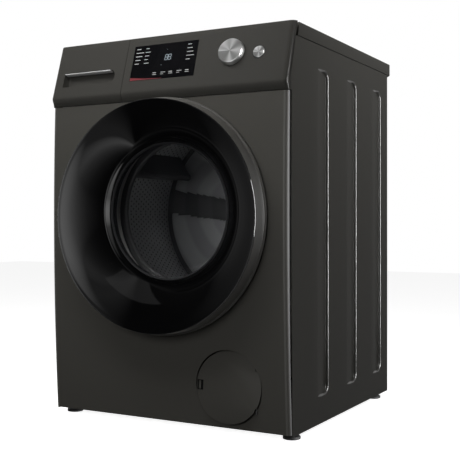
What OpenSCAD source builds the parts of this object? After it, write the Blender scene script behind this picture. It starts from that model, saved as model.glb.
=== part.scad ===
// Front-loading washing machine with a sloped control fascia, a bowed front and a deep dished door.
// Millimetres. X runs to the right, Y to the back and Z up. The origin lies on the floor, under the
// middle. Inside at_cabinet(), y is 0 on the front panel's foremost line and z is 0 at the cabinet's foot.

/* [Cabinet] */
// Width over the side panels
cabinet_w = 598; // [590:1:620]
// Height of the cabinet above its feet
cabinet_h = 840; // [836:1:870]
// Depth of the side panels behind the front panel's foremost line
cabinet_d = 607; // [600:1:660]
// Thickness of the steel sheet
sheet_t = 1.2; // [0.8:0.1:1.6]
// Radius of the front panel's upright corners
corner_r = 11; // [8:1:13]
// Depth of the front panel's folded edge
return_d = 6.5; // [5:0.5:8]
// Radius of the front panel's bow
bow_r = 6730; // [6000:10:9000]
// Height of the bow's foremost line
bow_z = 459; // [440:1:480]
// Distance of the side panels' front edge behind the foremost line
side_front = 17; // [14:0.5:20]
// Radius of the side panels' front edge
side_bow_r = 17100; // [15000:100:20000]
// Width of the folded flanges
flange_w = 18; // [12:1:22]

/* [Side ribs] */
// Depth of a rib's rear wall
rib_d = 6; // [3:0.5:8]
// Length of a rib's ramp
rib_run = 62; // [40:1:90]
// Distance between ribs
rib_pitch = 172.7; // [150:0.1:180]
// Rear wall of the first rib
rib_first = 211; // [190:1:220]
// Height of the ribs' lower end
rib_low = 58; // [40:1:80]
// Distance from the ribs' upper end to the lid
rib_top_gap = 49; // [30:1:70]
// Radius of a rib's rear corners
rib_r = 20; // [8:1:28]

/* [Lid] */
// Thickness of the lid
lid_t = 31; // [26:1:34]
// Overhang of the lid behind the side panels
lid_overhang = 30; // [27:1:40]
// Distance of the lid's front edge behind the foremost line
lid_front = 58; // [54:1:66]
// Wall of the hollow lid
lid_wall = 3; // [2:0.5:4]
// Radius of the lid's rear corners
lid_r = 12; // [6:1:20]

/* [Fascia] */
// Height of the fascia from the seam to the top
fascia_h = 145; // [143:1:150]
// Height of the lip above the seam
lip_rise = 20; // [15:1:22]
// Distance that the lip stands in front of the foremost line
lip_out = 6; // [3:0.5:9]
// Distance of the seam's edge behind the foremost line
seam_in = 3; // [1:0.5:5]
// Distance from the lip back to the top edge
slope_run = 38.5; // [34:0.5:42]
// Wall of the fascia
fascia_t = 3; // [2:0.5:3.5]
// Depth of the fascia's end walls behind the sloped face
end_wrap = 12.5; // [11:0.5:15]
// Radius of the fascia's upright ends
end_r = 12; // [8:0.5:12]
// Gap of the visible joints
joint_gap = 1; // [0.6:0.1:1.4]

/* [Display, knob and button] */
// Distance of the display window from the drawer's front
display_gap = 19; // [14:1:24]
// Distance of the display window from the knob's axis
knob_gap = 85.5; // [70:0.5:90]
// Height of the display window along the slope
display_h = 84; // [60:1:86]
// Distance of the display's lower edge from the lip
display_rise = 26; // [22:1:30]
// Radius of the knob's base
knob_r = 29; // [22:0.5:32]
// Radius of the knob's face
knob_face_r = 25.5; // [18:0.5:28]
// Height of the knob
knob_h = 12; // [8:0.5:18]
// Distance of the knob's axis from the cabinet's side
knob_side = 133.5; // [125:0.5:140]
// Distance of the knob's axis from the lip
knob_rise = 70; // [60:1:78]
// Radius of the start button
button_r = 12.8; // [9:0.1:14]
// Distance of the button's axis from the cabinet's side
button_side = 71; // [63:1:78]
// Distance of the button's axis from the lip
button_rise = 66; // [50:1:80]
// Height of the button over the fascia
button_h = 1.8; // [1.2:0.1:3]
// Travel of the start button
button_travel = 1.2; // [0.6:0.1:1.5]

/* [Dispenser drawer] */
// Width of the drawer's front
drawer_w = 196; // [190:1:200]
// Left end of the grip recess, from the cabinet's side
grip_side = 29; // [24:1:34]
// Length of the grip recess
grip_w = 143; // [120:1:150]
// Height of the grip recess along the slope
grip_h = 34; // [26:1:38]
// Distance of the grip's lower edge from the lip
grip_rise = 26; // [20:1:32]
// Depth of the grip recess
grip_d = 18; // [12:1:20]
// Depth of the drawer's tray from the front line
tray_back = 290; // [260:1:300]
// Wall of the tray
tray_wall = 3; // [2:0.5:4]

/* [Door] */
// Radius of the door's face
door_r = 248.5; // [240:0.5:250]
// Distance of the door's face in front of the foremost line
door_out = 43; // [41:0.5:48]
// Distance of the door's centre below the seam
door_drop = 251.3; // [248:0.1:256]
// Height of the window's axis over the door's centre
window_rise = 11.3; // [6:0.1:14]
// Radius of the door's foot ring
door_foot_r = 255; // [253:0.5:256]
// Gap between the foot ring and the foremost line
door_gap = 3; // [2.5:0.1:4]
// Outer radius of the window ring
window_r = 159.7; // [157:0.1:161]
// Depth of the window ring's outer edge
window_y = 12.7; // [10:0.1:14]
// Inner radius of the window ring
glass_r = 149.5; // [148:0.1:150]
// Radius of the glass bowl's nose
nose_r = 122; // [110:1:126]
// Depth of the glass bowl's nose
nose_y = 112; // [100:1:114]
// Thickness of the glass
glass_t = 4; // [3:0.5:5]
// Radius of the door's plug
plug_r = 172; // [169:0.5:172]
// Radius of the front panel's door opening
opening_r = 178; // [178:0.5:180]
// Distance of the hinge pin from the window's axis
hinge_x = 247; // [246:0.5:248]
// Distance of the hinge pin in front of the foremost line
hinge_out = 30; // [29.5:0.5:31]
// Radius of the hinge pin
hinge_pin_r = 3; // [2.5:0.1:3.5]

/* [Tub and drum] */
// Outer radius of the tub
tub_r = 256; // [254:1:258]
// Wall of the tub
tub_wall = 4; // [3:0.5:5]
// Front of the tub
tub_front_y = 88; // [86:1:90]
// Radius of the drum
drum_r = 236; // [230:1:238]
// Front of the drum
drum_front_y = 98; // [96:1:102]
// Depth of the drum
drum_d = 300; // [280:1:304]
// Sheet thickness of the drum
drum_t = 1; // [0.6:0.1:1.5]
// Radius of the drum's mouth
mouth_r = 158; // [154:1:162]
// Height of a lifter
lifter_h = 55; // [40:1:60]
// Radius of the drum's shaft
shaft_r = 12.5; // [10:0.5:14]
// Radius of the drum pulley
pulley_r = 140; // [120:1:146]
// Radius of the motor pulley
motor_pulley_r = 10; // [8:0.5:12]
// Radius of the motor
motor_r = 68; // [55:1:70]

/* [Drain and feet] */
// Position of the filter flap's centre
filter_x = 159.6; // [150:0.1:165]
// Height of the filter flap's centre
filter_z = 90; // [86:1:96]
// Radius of the filter flap
filter_r = 75.6; // [70:0.1:76]
// Radius of the filter cap's plug
cap_r = 30; // [24:1:32]
// Radius of a foot
foot_r = 18.5; // [14:0.5:19]
// Radius of a foot's threaded stem
stem_r = 4; // [3:0.5:5]
// Distance of the feet from the cabinet's side
foot_side = 20; // [19:1:30]
// Distance of the front feet from the foremost line
foot_front = 62; // [60:1:80]
// Distance of the rear feet from the back
foot_back = 52; // [40:1:60]
// Height of the feet under the cabinet
foot_h = 12; // [10:1:15]
// Thickness of a foot's disc
foot_disc_t = 6; // [4:0.5:8]

/* [Hidden] */
$fn = 96;

// Clearances
seat = 0.3;      // between pieces that lie on each other
running = 0.05;  // radial, between a shaft and its bore
cut = 1;         // how far a cutter runs past a face

// Frame
half_w = cabinet_w / 2;
inner_w = half_w - sheet_t;
front_y = (door_out - cabinet_d - lid_overhang) / 2;
lid_z = cabinet_h - lid_t;
seam_z = cabinet_h - fascia_h;
lip_z = seam_z + lip_rise;
slope_h = fascia_h - lip_rise;
lean = atan2(slope_run, slope_h);
door_z = seam_z - door_drop;
window_z = door_z + window_rise;
axis_z = window_z;
panel_foot = 4;
rail_y = side_front + 6;

// Rear panel
rear_y = cabinet_d - sheet_t;
rear_flange_y = rear_y - seat - sheet_t;
cover_r = 165;
cover_hole_r = 150;
screw_r = 1.8;
screw_head_r = 4;
screw_zs = [60, 230, 400, 570, 740];

// Door
door_face_y = -door_out;
door_back_y = -door_gap;
frame_t = 2.5;
frame_r = door_foot_r - 15;
glass_flange_t = 4;
ring_back_y = window_y + 14.5;
flange_y = ring_back_y + seat;
plug_back_y = flange_y + glass_flange_t + seat + frame_t;
knuckle_r = 6;
arm_half = 22;
knuckle_gap = 0.5;
knuckle_end = 45;
notch_half = knuckle_end + 2;
arm_leg = 3;
hook_x = 205;
hook_pivot_y = -12;
hook_tip_y = 26;
lip_end_y = 27;

// Tub
tub_split_y = 250;
tub_flange_r = tub_r + 6;
drum_back_y = drum_front_y + drum_d;
spider_t = 12;
tub_back_y = drum_back_y + spider_t + 8;
hub_back_y = tub_back_y + 56;
bearing_w = 15;
bearing_r = shaft_r + 13.5;
pulley_y = hub_back_y + 8;
pulley_w = 16;
belt_t = 3;
motor_x = -95;
motor_z = axis_z - 320;
motor_y1 = pulley_y - 37;
motor_y0 = motor_y1 - 145;
neck_r = opening_r - 6;
damper_x = 190;
damper_y = 322;
damper_r = 13;
rod_r = 5;
damper_top = axis_z - 335;
spring_x = inner_w - 14.8;
spring_ys = [tub_split_y - 14, tub_back_y - 6];
spring_low_z = axis_z + 148;
spring_high_z = lid_z - 52;
coil_r = 12;
wire_r = 1.6;
sump_x = 130;
sump_y = 170;
sump_low_z = axis_z - 249;
spigot_r = 18;
hose_t = 2.5;
fill_side = 112;
fill_x = fill_side - half_w;
fill_y = 200;
fill_r = 15;

// Dispenser
grip_left = -half_w + grip_side;
drawer_right = -half_w + drawer_w;
display_left = drawer_right + display_gap;
knob_x = half_w - knob_side;
button_x = half_w - button_side;
display_w = knob_x - knob_gap - display_left;
tray_left = -half_w + 36;
tray_right = drawer_right - 9;
tray_top = lid_z - 14;
housing_floor_z = lip_z - 4.7;
housing_wall = 2.5;
housing_front = 54;
housing_back = tray_back + 14;
tray_z = housing_floor_z + housing_wall + seat;
tray_cell_y = 47;

// Water and drain
valve_x = fill_x;
valve_z = tray_top - 33;
valve_y = rear_y - 45.8;
valve_half = 22;
pipe_r = 11;
pipe_bend = 34;
pipe_z = lid_z - 34;
housing_r = cap_r + 8;
seat_tube_y = 28;
pump_y = 216;
pump_back_y = 292;
base_front = seat_tube_y + 3;
base_h = 45;
base_wall = 3;
boss_r = 11;
stem_top = 42;

function bow_y(z) = bow_r - sqrt(bow_r * bow_r - (z - bow_z) * (z - bow_z));
function side_y(z) = side_front + (z - bow_z) * (z - bow_z) / (2 * side_bow_r);
function slope_y(z) = (z - lip_z) * tan(lean) - lip_out;
function behind_slope(z, d) = slope_y(z) + d / cos(lean);
function stations(z0, z1, n = 24) = [for (i = [0 : n]) z0 + (z1 - z0) * i / n];
function right_of(a, b) = let (d = (b - a) / norm(b - a)) [d.y, -d.x];
function mitre(a, b, c, t) = let (n = right_of(a, b), m = right_of(b, c)) b + t * (n + m) / (1 + n * m);
function reversed(list) = [for (i = [len(list) - 1 : -1 : 0]) list[i]];
function shifted(list, d) = [for (p = list) p + d];

module at_cabinet() { translate([0, front_y, foot_h]) children(); }
module block(low, high) { translate(low) cube(high - low); }
module along_x(x0, x1) { translate([x0, 0, 0]) rotate([90, 0, 90]) linear_extrude(x1 - x0) children(); }
module along_y(y0, y1) { translate([0, y1, 0]) rotate([90, 0, 0]) linear_extrude(y1 - y0) children(); }
module rod_y(x, z, y0, y1, r) { translate([x, y1, z]) rotate([90, 0, 0]) cylinder(r = r, h = y1 - y0); }
module rod_z(x, y, z0, z1, r) { translate([x, y, z0]) cylinder(r = r, h = z1 - z0); }
module turned_y(x, z) { translate([x, 0, z]) rotate([-90, 0, 0]) rotate_extrude() children(); }
module pipe_y(x, z, y0, y1, r_in, r_out) {
    difference() {
        rod_y(x, z, y0, y1, r_out);
        rod_y(x, z, y0 - cut, y1 + cut, r_in);
    }
}
module pipe_z(x, y, z0, z1, r_in, r_out) {
    difference() {
        rod_z(x, y, z0, z1, r_out);
        rod_z(x, y, z0 - cut, z1 + cut, r_in);
    }
}
module both_sides() {
    children();
    mirror([1, 0, 0]) children();
}
// Local frame of the sloped fascia: x to the right, y up the slope from the lip, z out of the face
module on_slope(x = 0, rise = 0) {
    translate([0, -lip_out, lip_z]) rotate([90 - lean, 0, 0]) translate([x, rise, 0]) children();
}

// ---- Cabinet sheets ----

// Front edge of a side panel: bowed beside the front panel, then along the fascia's end
function side_edge() = concat(
    [for (z = stations(0, seam_z)) [side_y(z), z]],
    [[behind_slope(lip_z + 16, end_wrap), lip_z + 16], [behind_slope(lid_z, end_wrap), lid_z]]);

module rib_outline(y1, run, grow) {
    low = rib_low - grow;
    high = lid_z - rib_top_gap + grow;
    r = rib_r + grow;
    translate([y1 - run, low]) square([run - r, high - low]);
    translate([y1 - run, low + r]) square([run, high - low - 2 * r]);
    translate([y1 - r, low + r]) circle(r);
    translate([y1 - r, high - r]) circle(r);
}
// A ramp that starts flush with the panel and ends at an upright wall
module rib_wedge(y1, grow) {
    intersection() {
        along_x(half_w - rib_d - grow - cut, half_w + cut) rib_outline(y1 + grow, rib_run + grow, grow);
        translate([0, 0, rib_low - rib_r]) linear_extrude(lid_z) polygon([
            [half_w - grow, y1 - rib_run - grow], [half_w - rib_d - grow, y1 + grow],
            [half_w + cut, y1 + grow], [half_w + cut, y1 - rib_run - grow]]);
    }
}
module side_sheet() {
    edge = side_edge();
    along_x(inner_w, half_w)
        polygon(concat(edge, [[cabinet_d, lid_z], [cabinet_d, 0]]));
    along_x(half_w - flange_w, inner_w + sheet_t / 2)
        polygon(concat(edge, reversed(shifted(edge, [sheet_t, 0]))));
    block([half_w - flange_w, rear_flange_y, 0], [half_w, rear_flange_y + sheet_t, lid_z]);
    difference() {
        block([half_w - flange_w, base_front, 0], [half_w, cabinet_d - flange_w, sheet_t]);
        for (y = [foot_front, cabinet_d - foot_back])
            rod_z(half_w - foot_side, y, -cut, sheet_t + cut, stem_r + 1);
    }
    block([half_w - flange_w, behind_slope(lid_z, end_wrap), lid_z - sheet_t],
          [half_w, rear_flange_y, lid_z]);
    for (y = spring_ys)
        block([spring_x - coil_r + 1, y - 15, spring_high_z + seat],
              [inner_w + sheet_t / 2, y + 15, spring_high_z + 4]);
}
module side_panel() {
    difference() {
        union() {
            side_sheet();
            for (i = [0 : 2]) intersection() {
                rib_wedge(rib_first + i * rib_pitch, sheet_t);
                block([0, 0, 0], [half_w, cabinet_d, lid_z]);
            }
        }
        for (i = [0 : 2]) rib_wedge(rib_first + i * rib_pitch, 0);
        for (z = screw_zs) rod_y(half_w - flange_w / 2, z, rear_flange_y - cut, cabinet_d, screw_r + 0.2);
    }
}
module side_panel_right() { color("#453f3c") at_cabinet() side_panel(); }
module side_panel_left() { color("#453f3c") at_cabinet() mirror([1, 0, 0]) side_panel(); }

module rear_panel() {
    edge = inner_w - seat;
    color("#8f9294") at_cabinet() difference() {
        union() {
            block([-edge, rear_y, base_h + seat], [edge, cabinet_d, lid_z - seat]);
            pipe_y(0, axis_z, rear_y - 6, rear_y + sheet_t / 2, cover_hole_r, cover_hole_r + sheet_t);
        }
        rod_y(0, axis_z, rear_y - cut, cabinet_d + cut, cover_hole_r);
        rod_y(valve_x, valve_z, rear_y - cut, cabinet_d + cut, 19);
        rod_y(filter_x, pipe_z, rear_y - cut, cabinet_d + cut, pipe_r + 1);
        rod_y(-gland_x, gland_z, rear_y - cut, cabinet_d + cut, gland_r - 3 + seat);
        both_sides() for (z = screw_zs)
            rod_y(half_w - flange_w / 2, z, rear_y - cut, cabinet_d + cut, screw_r + 0.2);
        both_sides() for (z = transit_zs)
            rod_y(transit_x, z, rear_y - cut, cabinet_d + cut, transit_r - 4 + seat);
    }
}
module rear_cover() {
    color("#8f9294") at_cabinet() turned_y(0, axis_z) polygon([
        [0, cabinet_d + 12], [cover_r - 12, cabinet_d + 12], [cover_r - 4, cabinet_d + seat + sheet_t],
        [cover_r + 6, cabinet_d + seat + sheet_t], [cover_r + 6, cabinet_d + seat],
        [cover_r - 4 - sheet_t, cabinet_d + seat], [cover_r - 12 - sheet_t, cabinet_d + 12 - sheet_t],
        [0, cabinet_d + 12 - sheet_t]]);
}
gland_x = 220;
gland_z = 90;
gland_r = 13;
transit_x = 150;
transit_zs = [axis_z - 190, axis_z + 190];
transit_r = 16;
module transit_caps() {
    color("#1c1c1d") at_cabinet() both_sides() for (z = transit_zs) {
        rod_y(transit_x, z, cabinet_d + seat, cabinet_d + 4, transit_r);
        rod_y(transit_x, z, rear_y - 8, cabinet_d + 2, transit_r - 4);
    }
}
module panel_screws() {
    color("silver") at_cabinet() both_sides() for (z = screw_zs) {
        rod_y(half_w - flange_w / 2, z, cabinet_d + 0.1, cabinet_d + 2.6, screw_head_r);
        rod_y(half_w - flange_w / 2, z, rear_flange_y - 6, cabinet_d + 1, screw_r);
    }
}
module cord_gland() {
    color("#1c1c1d") at_cabinet() difference() {
        union() {
            rod_y(-gland_x, gland_z, cabinet_d + seat, cabinet_d + 10, gland_r);
            rod_y(-gland_x, gland_z, rear_y - 8, cabinet_d + 2, gland_r - 3);
        }
        rod_y(-gland_x, gland_z, rear_y - 10, cabinet_d + 12, 4);
    }
}
module base_tray() {
    wide = inner_w - seat;
    back = rear_flange_y - seat;
    low = sheet_t + seat;
    color("#2b2b2c") at_cabinet() difference() {
        union() {
            difference() {
                block([-wide, base_front, low], [wide, back, base_h]);
                block([-wide + base_wall, base_front + base_wall, low + base_wall],
                      [wide - base_wall, back - base_wall, base_h + cut]);
            }
            both_sides() for (y = [foot_front, cabinet_d - foot_back])
                rod_z(half_w - foot_side, y, low, stem_top - 8, boss_r);
            both_sides() rod_z(damper_x, damper_y, low, low + 8, damper_r + 6);
            block([filter_x - housing_r - 4, pump_y - 30, low],
                  [filter_x + housing_r + 4, pump_y - 14, base_h - 4]);
        }
        both_sides() for (y = [foot_front, cabinet_d - foot_back]) {
            rod_z(half_w - foot_side, y, -cut, stem_top, stem_r + running);
            rod_z(half_w - foot_side, y, -cut, low + 1, stem_r + 6);
        }
        rod_y(filter_x, filter_z, pump_y - 40, pump_y, housing_r + seat);
        both_sides() block([half_w - flange_w - seat, base_front - cut, -cut], [half_w, cabinet_d, low]);
    }
}

// Plan section of the bowed front sheet, as (distance from the bow's axis, x)
module sheet_slab(inset) {
    r = corner_r - inset;
    reach = 40;
    wide = half_w - inset;
    translate([bow_r - inset - reach, -wide + r]) square([reach, 2 * (wide - r)]);
    translate([bow_r - inset - reach, -wide]) square([reach - r, 2 * wide]);
    for (side = [-1, 1]) translate([bow_r - inset - r, side * (wide - r)]) circle(r);
}
module bowed_sheet(z0, z1) {
    sweep = 4.6;
    intersection() {
        translate([0, bow_r, bow_z]) rotate([0, 90, 0]) rotate([0, 0, -90 - sweep])
            rotate_extrude(angle = 2 * sweep, $fn = 1440) intersection() {
                difference() {
                    sheet_slab(0);
                    sheet_slab(sheet_t);
                }
                translate([bow_r - return_d, -half_w]) square([return_d, cabinet_w]);
            }
        block([-half_w, -cut, z0], [half_w, 100, z1]);
    }
}
// Everything between the middle of the bowed sheet and a plane behind it
module behind_sheet(y1) {
    along_x(-half_w, half_w) polygon(concat(
        [for (z = stations(0, seam_z)) [bow_y(z) + sheet_t / 2, z]], [[y1, seam_z], [y1, 0]]));
}

flap_t = 2.5;
flap_depth = flap_t;
flap_axis_off = filter_r - 11.2;
flap_axis_x = filter_x + flap_axis_off;
flap_lean = atan((filter_z - bow_z) / bow_r);
flap_open = 95;
flap_gap = joint_gap + 0.6;
filter_hole_r = filter_r + flap_gap;
// Above and below this height the open flap would press on the rim of its hole
flap_relief_z = sqrt(pow(filter_hole_r, 2) - pow(flap_axis_off + flap_depth + 0.5, 2));
flap_relief = flap_depth * tan(flap_open / 2) + 0.4;
// Local frame of the filter flap's hinge pin, along its z
module at_flap_hinge() {
    translate([flap_axis_x, bow_y(filter_z) + flap_depth, filter_z]) rotate([-flap_lean, 0, 0]) children();
}
flap_pin_r = 1.2;
flap_pin_half = 50;
flap_barrel_half = 34;
flap_block = [6, 5, 5];
flap_block_y = flap_block.y / 2 - flap_depth + sheet_t - 0.3;
hook_slot = [12, 16];
module front_panel() {
    top = seam_z;
    strip_x = half_w - flange_w + 4;
    color("#3d3936") at_cabinet() difference() {
        union() {
            bowed_sheet(panel_foot, top);
            intersection() {
                union() {
                    pipe_y(0, window_z, -cut, lip_end_y - 3, opening_r, opening_r + sheet_t);
                    pipe_y(filter_x, filter_z, -cut, seat_tube_y, filter_hole_r, filter_hole_r + sheet_t);
                    both_sides() along_x(strip_x, strip_x + sheet_t) polygon(concat(
                        [for (z = stations(panel_foot, top)) [bow_y(z), z]],
                        [for (z = reversed(stations(panel_foot, top))) [side_y(z) - seat, z]]));
                }
                behind_sheet(100);
            }
            pipe_y(filter_x, filter_z, seat_tube_y - 1.5, seat_tube_y,
                   housing_r + 2, filter_hole_r + sheet_t / 2);
            at_flap_hinge() for (side = [-1, 1])
                translate([0, flap_block_y, side * (flap_pin_half - flap_block.z / 2)])
                    cube(flap_block, center = true);
        }
        rod_y(0, window_z, -60, 100, opening_r);
        rod_y(filter_x, filter_z, -60, seat_tube_y - 1.5, filter_hole_r);
        at_flap_hinge() cylinder(r = flap_pin_r + running, h = 2 * flap_pin_half + 2, center = true);
        for (side = [-1, 1]) block(
            [-hinge_x - arm_leg - 1, -cut, door_z + side * (arm_half + knuckle_end) / 2 - 13],
            [-hinge_x + arm_leg + 1, 20, door_z + side * (arm_half + knuckle_end) / 2 + 13]);
        block([hook_x - hook_slot[0], -cut, window_z - hook_slot[1]],
              [hook_x + hook_slot[0], 20, window_z + hook_slot[1]]);
    }
}
module front_rail() {
    wide = inner_w - seat;
    top = housing_floor_z - seat;
    color("#8f9294") at_cabinet() {
        difference() {
            block([-wide, rail_y + sheet_t, seam_z + 3], [wide, housing_front - 2, top]);
            block([-wide - cut, rail_y + 2 * sheet_t, seam_z + 3 - cut],
                  [wide + cut, housing_front - 2 - sheet_t, top - sheet_t]);
        }
    }
}

module lid_plan(inset) {
    wide = half_w - inset;
    back = cabinet_d + lid_overhang - inset;
    front = lid_front + inset;
    r = lid_r - inset;
    translate([-wide, front]) square([2 * wide, back - front - r]);
    translate([-wide + r, front]) square([2 * (wide - r), back - front]);
    for (side = [-1, 1]) translate([side * (wide - r), back - r]) circle(r);
}
module top_panel() {
    ribs = 5;
    color("#4a4542") at_cabinet() {
        difference() {
            translate([0, 0, lid_z + seat]) linear_extrude(lid_t - seat) lid_plan(0);
            translate([0, 0, lid_z - cut]) linear_extrude(lid_t - lid_wall + cut) lid_plan(lid_wall);
        }
        for (i = [1 : ribs - 1]) {
            x = -half_w + i * cabinet_w / ribs;
            block([x - lid_wall / 2, lid_front + lid_wall / 2, lid_z + 14],
                  [x + lid_wall / 2, cabinet_d + lid_overhang - lid_wall / 2, cabinet_h - lid_wall / 2]);
        }
    }
}

// ---- Fascia ----

fascia_foot = seam_z + joint_gap;
fascia_back = lid_front - joint_gap / 2;
fascia_face = [[seam_in + 30, fascia_foot], [seam_in, fascia_foot], [-lip_out, lip_z],
               [slope_run - lip_out, cabinet_h], [fascia_back, cabinet_h]];

module fascia_end_outline() {
    polygon([fascia_face[1], fascia_face[2], fascia_face[3], fascia_face[4],
             [fascia_back, lid_z + joint_gap],
             [behind_slope(lid_z + joint_gap, end_wrap) - joint_gap, lid_z + joint_gap],
             [behind_slope(lip_z + 16, end_wrap) - joint_gap, lip_z + 16],
             [side_y(seam_z) - joint_gap, fascia_foot]]);
}
module fascia_hollow_outline() {
    f = fascia_face;
    polygon([[90, fascia_foot + fascia_t], mitre(f[0], f[1], f[2], fascia_t),
             mitre(f[1], f[2], f[3], fascia_t), mitre(f[2], f[3], f[4], fascia_t),
             [90, cabinet_h - fascia_t]]);
}
// Cutter that rounds the upright end of the sloped face at x_end, towards side
module end_cutter(x_end, side, depth, r) {
    on_slope() translate([0, -60, 0]) rotate([-90, 0, 0]) linear_extrude(260)
        translate([x_end - side * r, depth + r]) difference() {
            translate([side > 0 ? 0 : -r - cut, -r - 20]) square([r + cut, r + 20]);
            circle(r);
        }
}
module fascia_shell(x0, x1, round_left, round_right) {
    difference() {
        along_x(x0, x1) fascia_end_outline();
        difference() {
            along_x(x0 + fascia_t, x1 - fascia_t) fascia_hollow_outline();
            if (round_left) end_cutter(x0 + fascia_t, -1, fascia_t, end_r - fascia_t);
            if (round_right) end_cutter(x1 - fascia_t, 1, fascia_t, end_r - fascia_t);
        }
        if (round_left) end_cutter(x0, -1, 0, end_r);
        if (round_right) end_cutter(x1, 1, 0, end_r);
    }
}
board_d = 26;
post_r = 4;
board_posts = [for (x = [display_left - 6, button_x - 38])
    for (y = [display_rise + 4, display_rise + display_h - 6]) [x, y]];
knob_shaft_r = 5;
button_stem_r = 4;
module control_fascia() {
    color("#4b4643") at_cabinet() difference() {
        union() {
            fascia_shell(drawer_right + joint_gap, half_w, false, true);
            on_slope() for (p = board_posts)
                translate([p.x, p.y, -board_d + seat]) cylinder(r = post_r, h = board_d - fascia_t / 2);
            on_slope(button_x, button_rise) translate([0, 0, -14])
                cylinder(r = button_r + 3, h = 14 - fascia_t / 2);
        }
        on_slope() block([display_left, display_rise, -fascia_t - cut],
                         [display_left + display_w, display_rise + display_h, cut]);
        on_slope(knob_x, knob_rise) translate([0, 0, -10]) cylinder(r = knob_shaft_r + running, h = 12);
        on_slope(button_x, button_rise) translate([0, 0, -10]) cylinder(r = button_r + running, h = 12);
        on_slope(button_x, button_rise) translate([0, 0, -16]) cylinder(r = button_stem_r + running, h = 12);
    }
}
module display_window() {
    color("#0a0a0b") at_cabinet() on_slope() {
        block([display_left + seat, display_rise + seat, -fascia_t],
              [display_left + display_w - seat, display_rise + display_h - seat, 0]);
        block([display_left - 2, display_rise - 2, -fascia_t - 2.5],
              [display_left + display_w + 2, display_rise + display_h + 2, -fascia_t - seat]);
    }
}
module control_board() {
    color("#2f5a3a") at_cabinet() on_slope() {
        block([display_left - 14, display_rise - 4, -board_d - 2],
              [button_x + 26, display_rise + display_h + 2, -board_d]);
        block([display_left + 8, display_rise + 8, -board_d - 0.5],
              [display_left + display_w - 8, display_rise + display_h - 8, -fascia_t - 2.5 - seat]);
        translate([knob_x, knob_rise, -board_d - 0.5]) cylinder(r = 12, h = board_d - 14 - knob_shaft_r);
        translate([button_x, button_rise, -board_d - 0.5]) cylinder(r = 6, h = board_d - 16 - button_travel);
    }
}
module program_knob() {
    color("#8d8783") at_cabinet() on_slope(knob_x, knob_rise) {
        rotate_extrude() polygon([
            [0, -15], [knob_shaft_r, -15], [knob_shaft_r, seat], [knob_r - 1, seat], [knob_r, seat + 1.5],
            [knob_face_r + 1, knob_h - 1], [knob_face_r, knob_h], [0, knob_h]]);
    }
}
module start_button() {
    color("#9a9693") at_cabinet() on_slope(button_x, button_rise) rotate_extrude() polygon([
        [0, -16 + running], [button_stem_r, -16 + running], [button_stem_r, -7], [button_r, -7],
        [button_r, button_h - 0.8], [button_r - 0.8, button_h], [0, button_h]]);
}

// ---- Dispenser drawer ----

module grip_outline(grow) {
    r = grip_h / 2 + grow;
    translate([grip_left - grow, grip_rise - grow]) square([grip_w + grow - grip_h / 2, grip_h + 2 * grow]);
    translate([grip_left + grip_w - grip_h / 2, grip_rise + grip_h / 2]) circle(r);
}
module drawer_front() {
    color("#514c49") at_cabinet() difference() {
        union() {
            fascia_shell(-half_w, drawer_right, true, false);
            on_slope() translate([0, 0, -grip_d - 2]) linear_extrude(grip_d + 1) grip_outline(2);
        }
        on_slope() translate([0, 0, -grip_d]) linear_extrude(grip_d + cut) grip_outline(0);
    }
}
module drawer_handle() {
    color("silver") at_cabinet() on_slope() block(
        [grip_left + 2, grip_rise + grip_h - 2.6, -grip_d + 6],
        [grip_left + grip_w - grip_h / 2, grip_rise + grip_h - 0.2, 0.6]);
}
tray_walls = [0, 0.42, 0.72, 1];
module drawer_tray() {
    depth = grip_d + 2 + seat;
    inner = tray_right - tray_left - tray_wall;
    color("#6f6b68") at_cabinet() difference() {
        along_x(tray_left, tray_right) polygon([
            [behind_slope(tray_z, depth), tray_z], [behind_slope(tray_top, depth), tray_top],
            [tray_back, tray_top], [tray_back, tray_z]]);
        for (i = [0 : 2]) block(
            [tray_left + tray_wall + tray_walls[i] * inner, tray_cell_y, tray_z + tray_wall],
            [tray_left + tray_walls[i + 1] * inner, tray_back - tray_wall, tray_top + cut]);
    }
}
module siphon_cap() {
    inner = tray_right - tray_left - tray_wall;
    x0 = tray_left + tray_wall + tray_walls[1] * inner;
    x1 = tray_left + tray_walls[2] * inner;
    low = tray_z + tray_wall + seat;
    color("#2f5f9e") at_cabinet() {
        block([x0 + seat, tray_back - tray_wall - 60, low + 24],
              [x1 - seat, tray_back - tray_wall - seat, low + 27]);
        rod_z((x0 + x1) / 2, tray_back - tray_wall - 30, low, low + 25, 8);
    }
}
module dispenser_housing() {
    x0 = tray_left - 2.5 - housing_wall;
    x1 = tray_right + 2.5 + housing_wall;
    floor_z = housing_floor_z;
    color("#9b9b98") at_cabinet() difference() {
        union() {
            block([x0, housing_front, floor_z], [x1, housing_back, tray_top + 6]);
            rod_z(fill_x, fill_y, floor_z - 22, floor_z + 1, fill_r);
            rod_y(valve_x, valve_z, housing_back - 1, housing_back + 18, 6);
            block([x0, housing_front, floor_z - 12], [x0 + housing_wall, housing_front + 40, floor_z]);
        }
        block([x0 + housing_wall, housing_front - cut, floor_z + housing_wall],
              [x1 - housing_wall, housing_back - housing_wall, tray_top + 6 - housing_wall]);
        rod_z(fill_x, fill_y, floor_z - 30, floor_z + 8, fill_r - 2.5);
        rod_y(valve_x, valve_z, housing_back - 8, housing_back + 20, 4);
    }
}

// ---- Water ----

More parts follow.
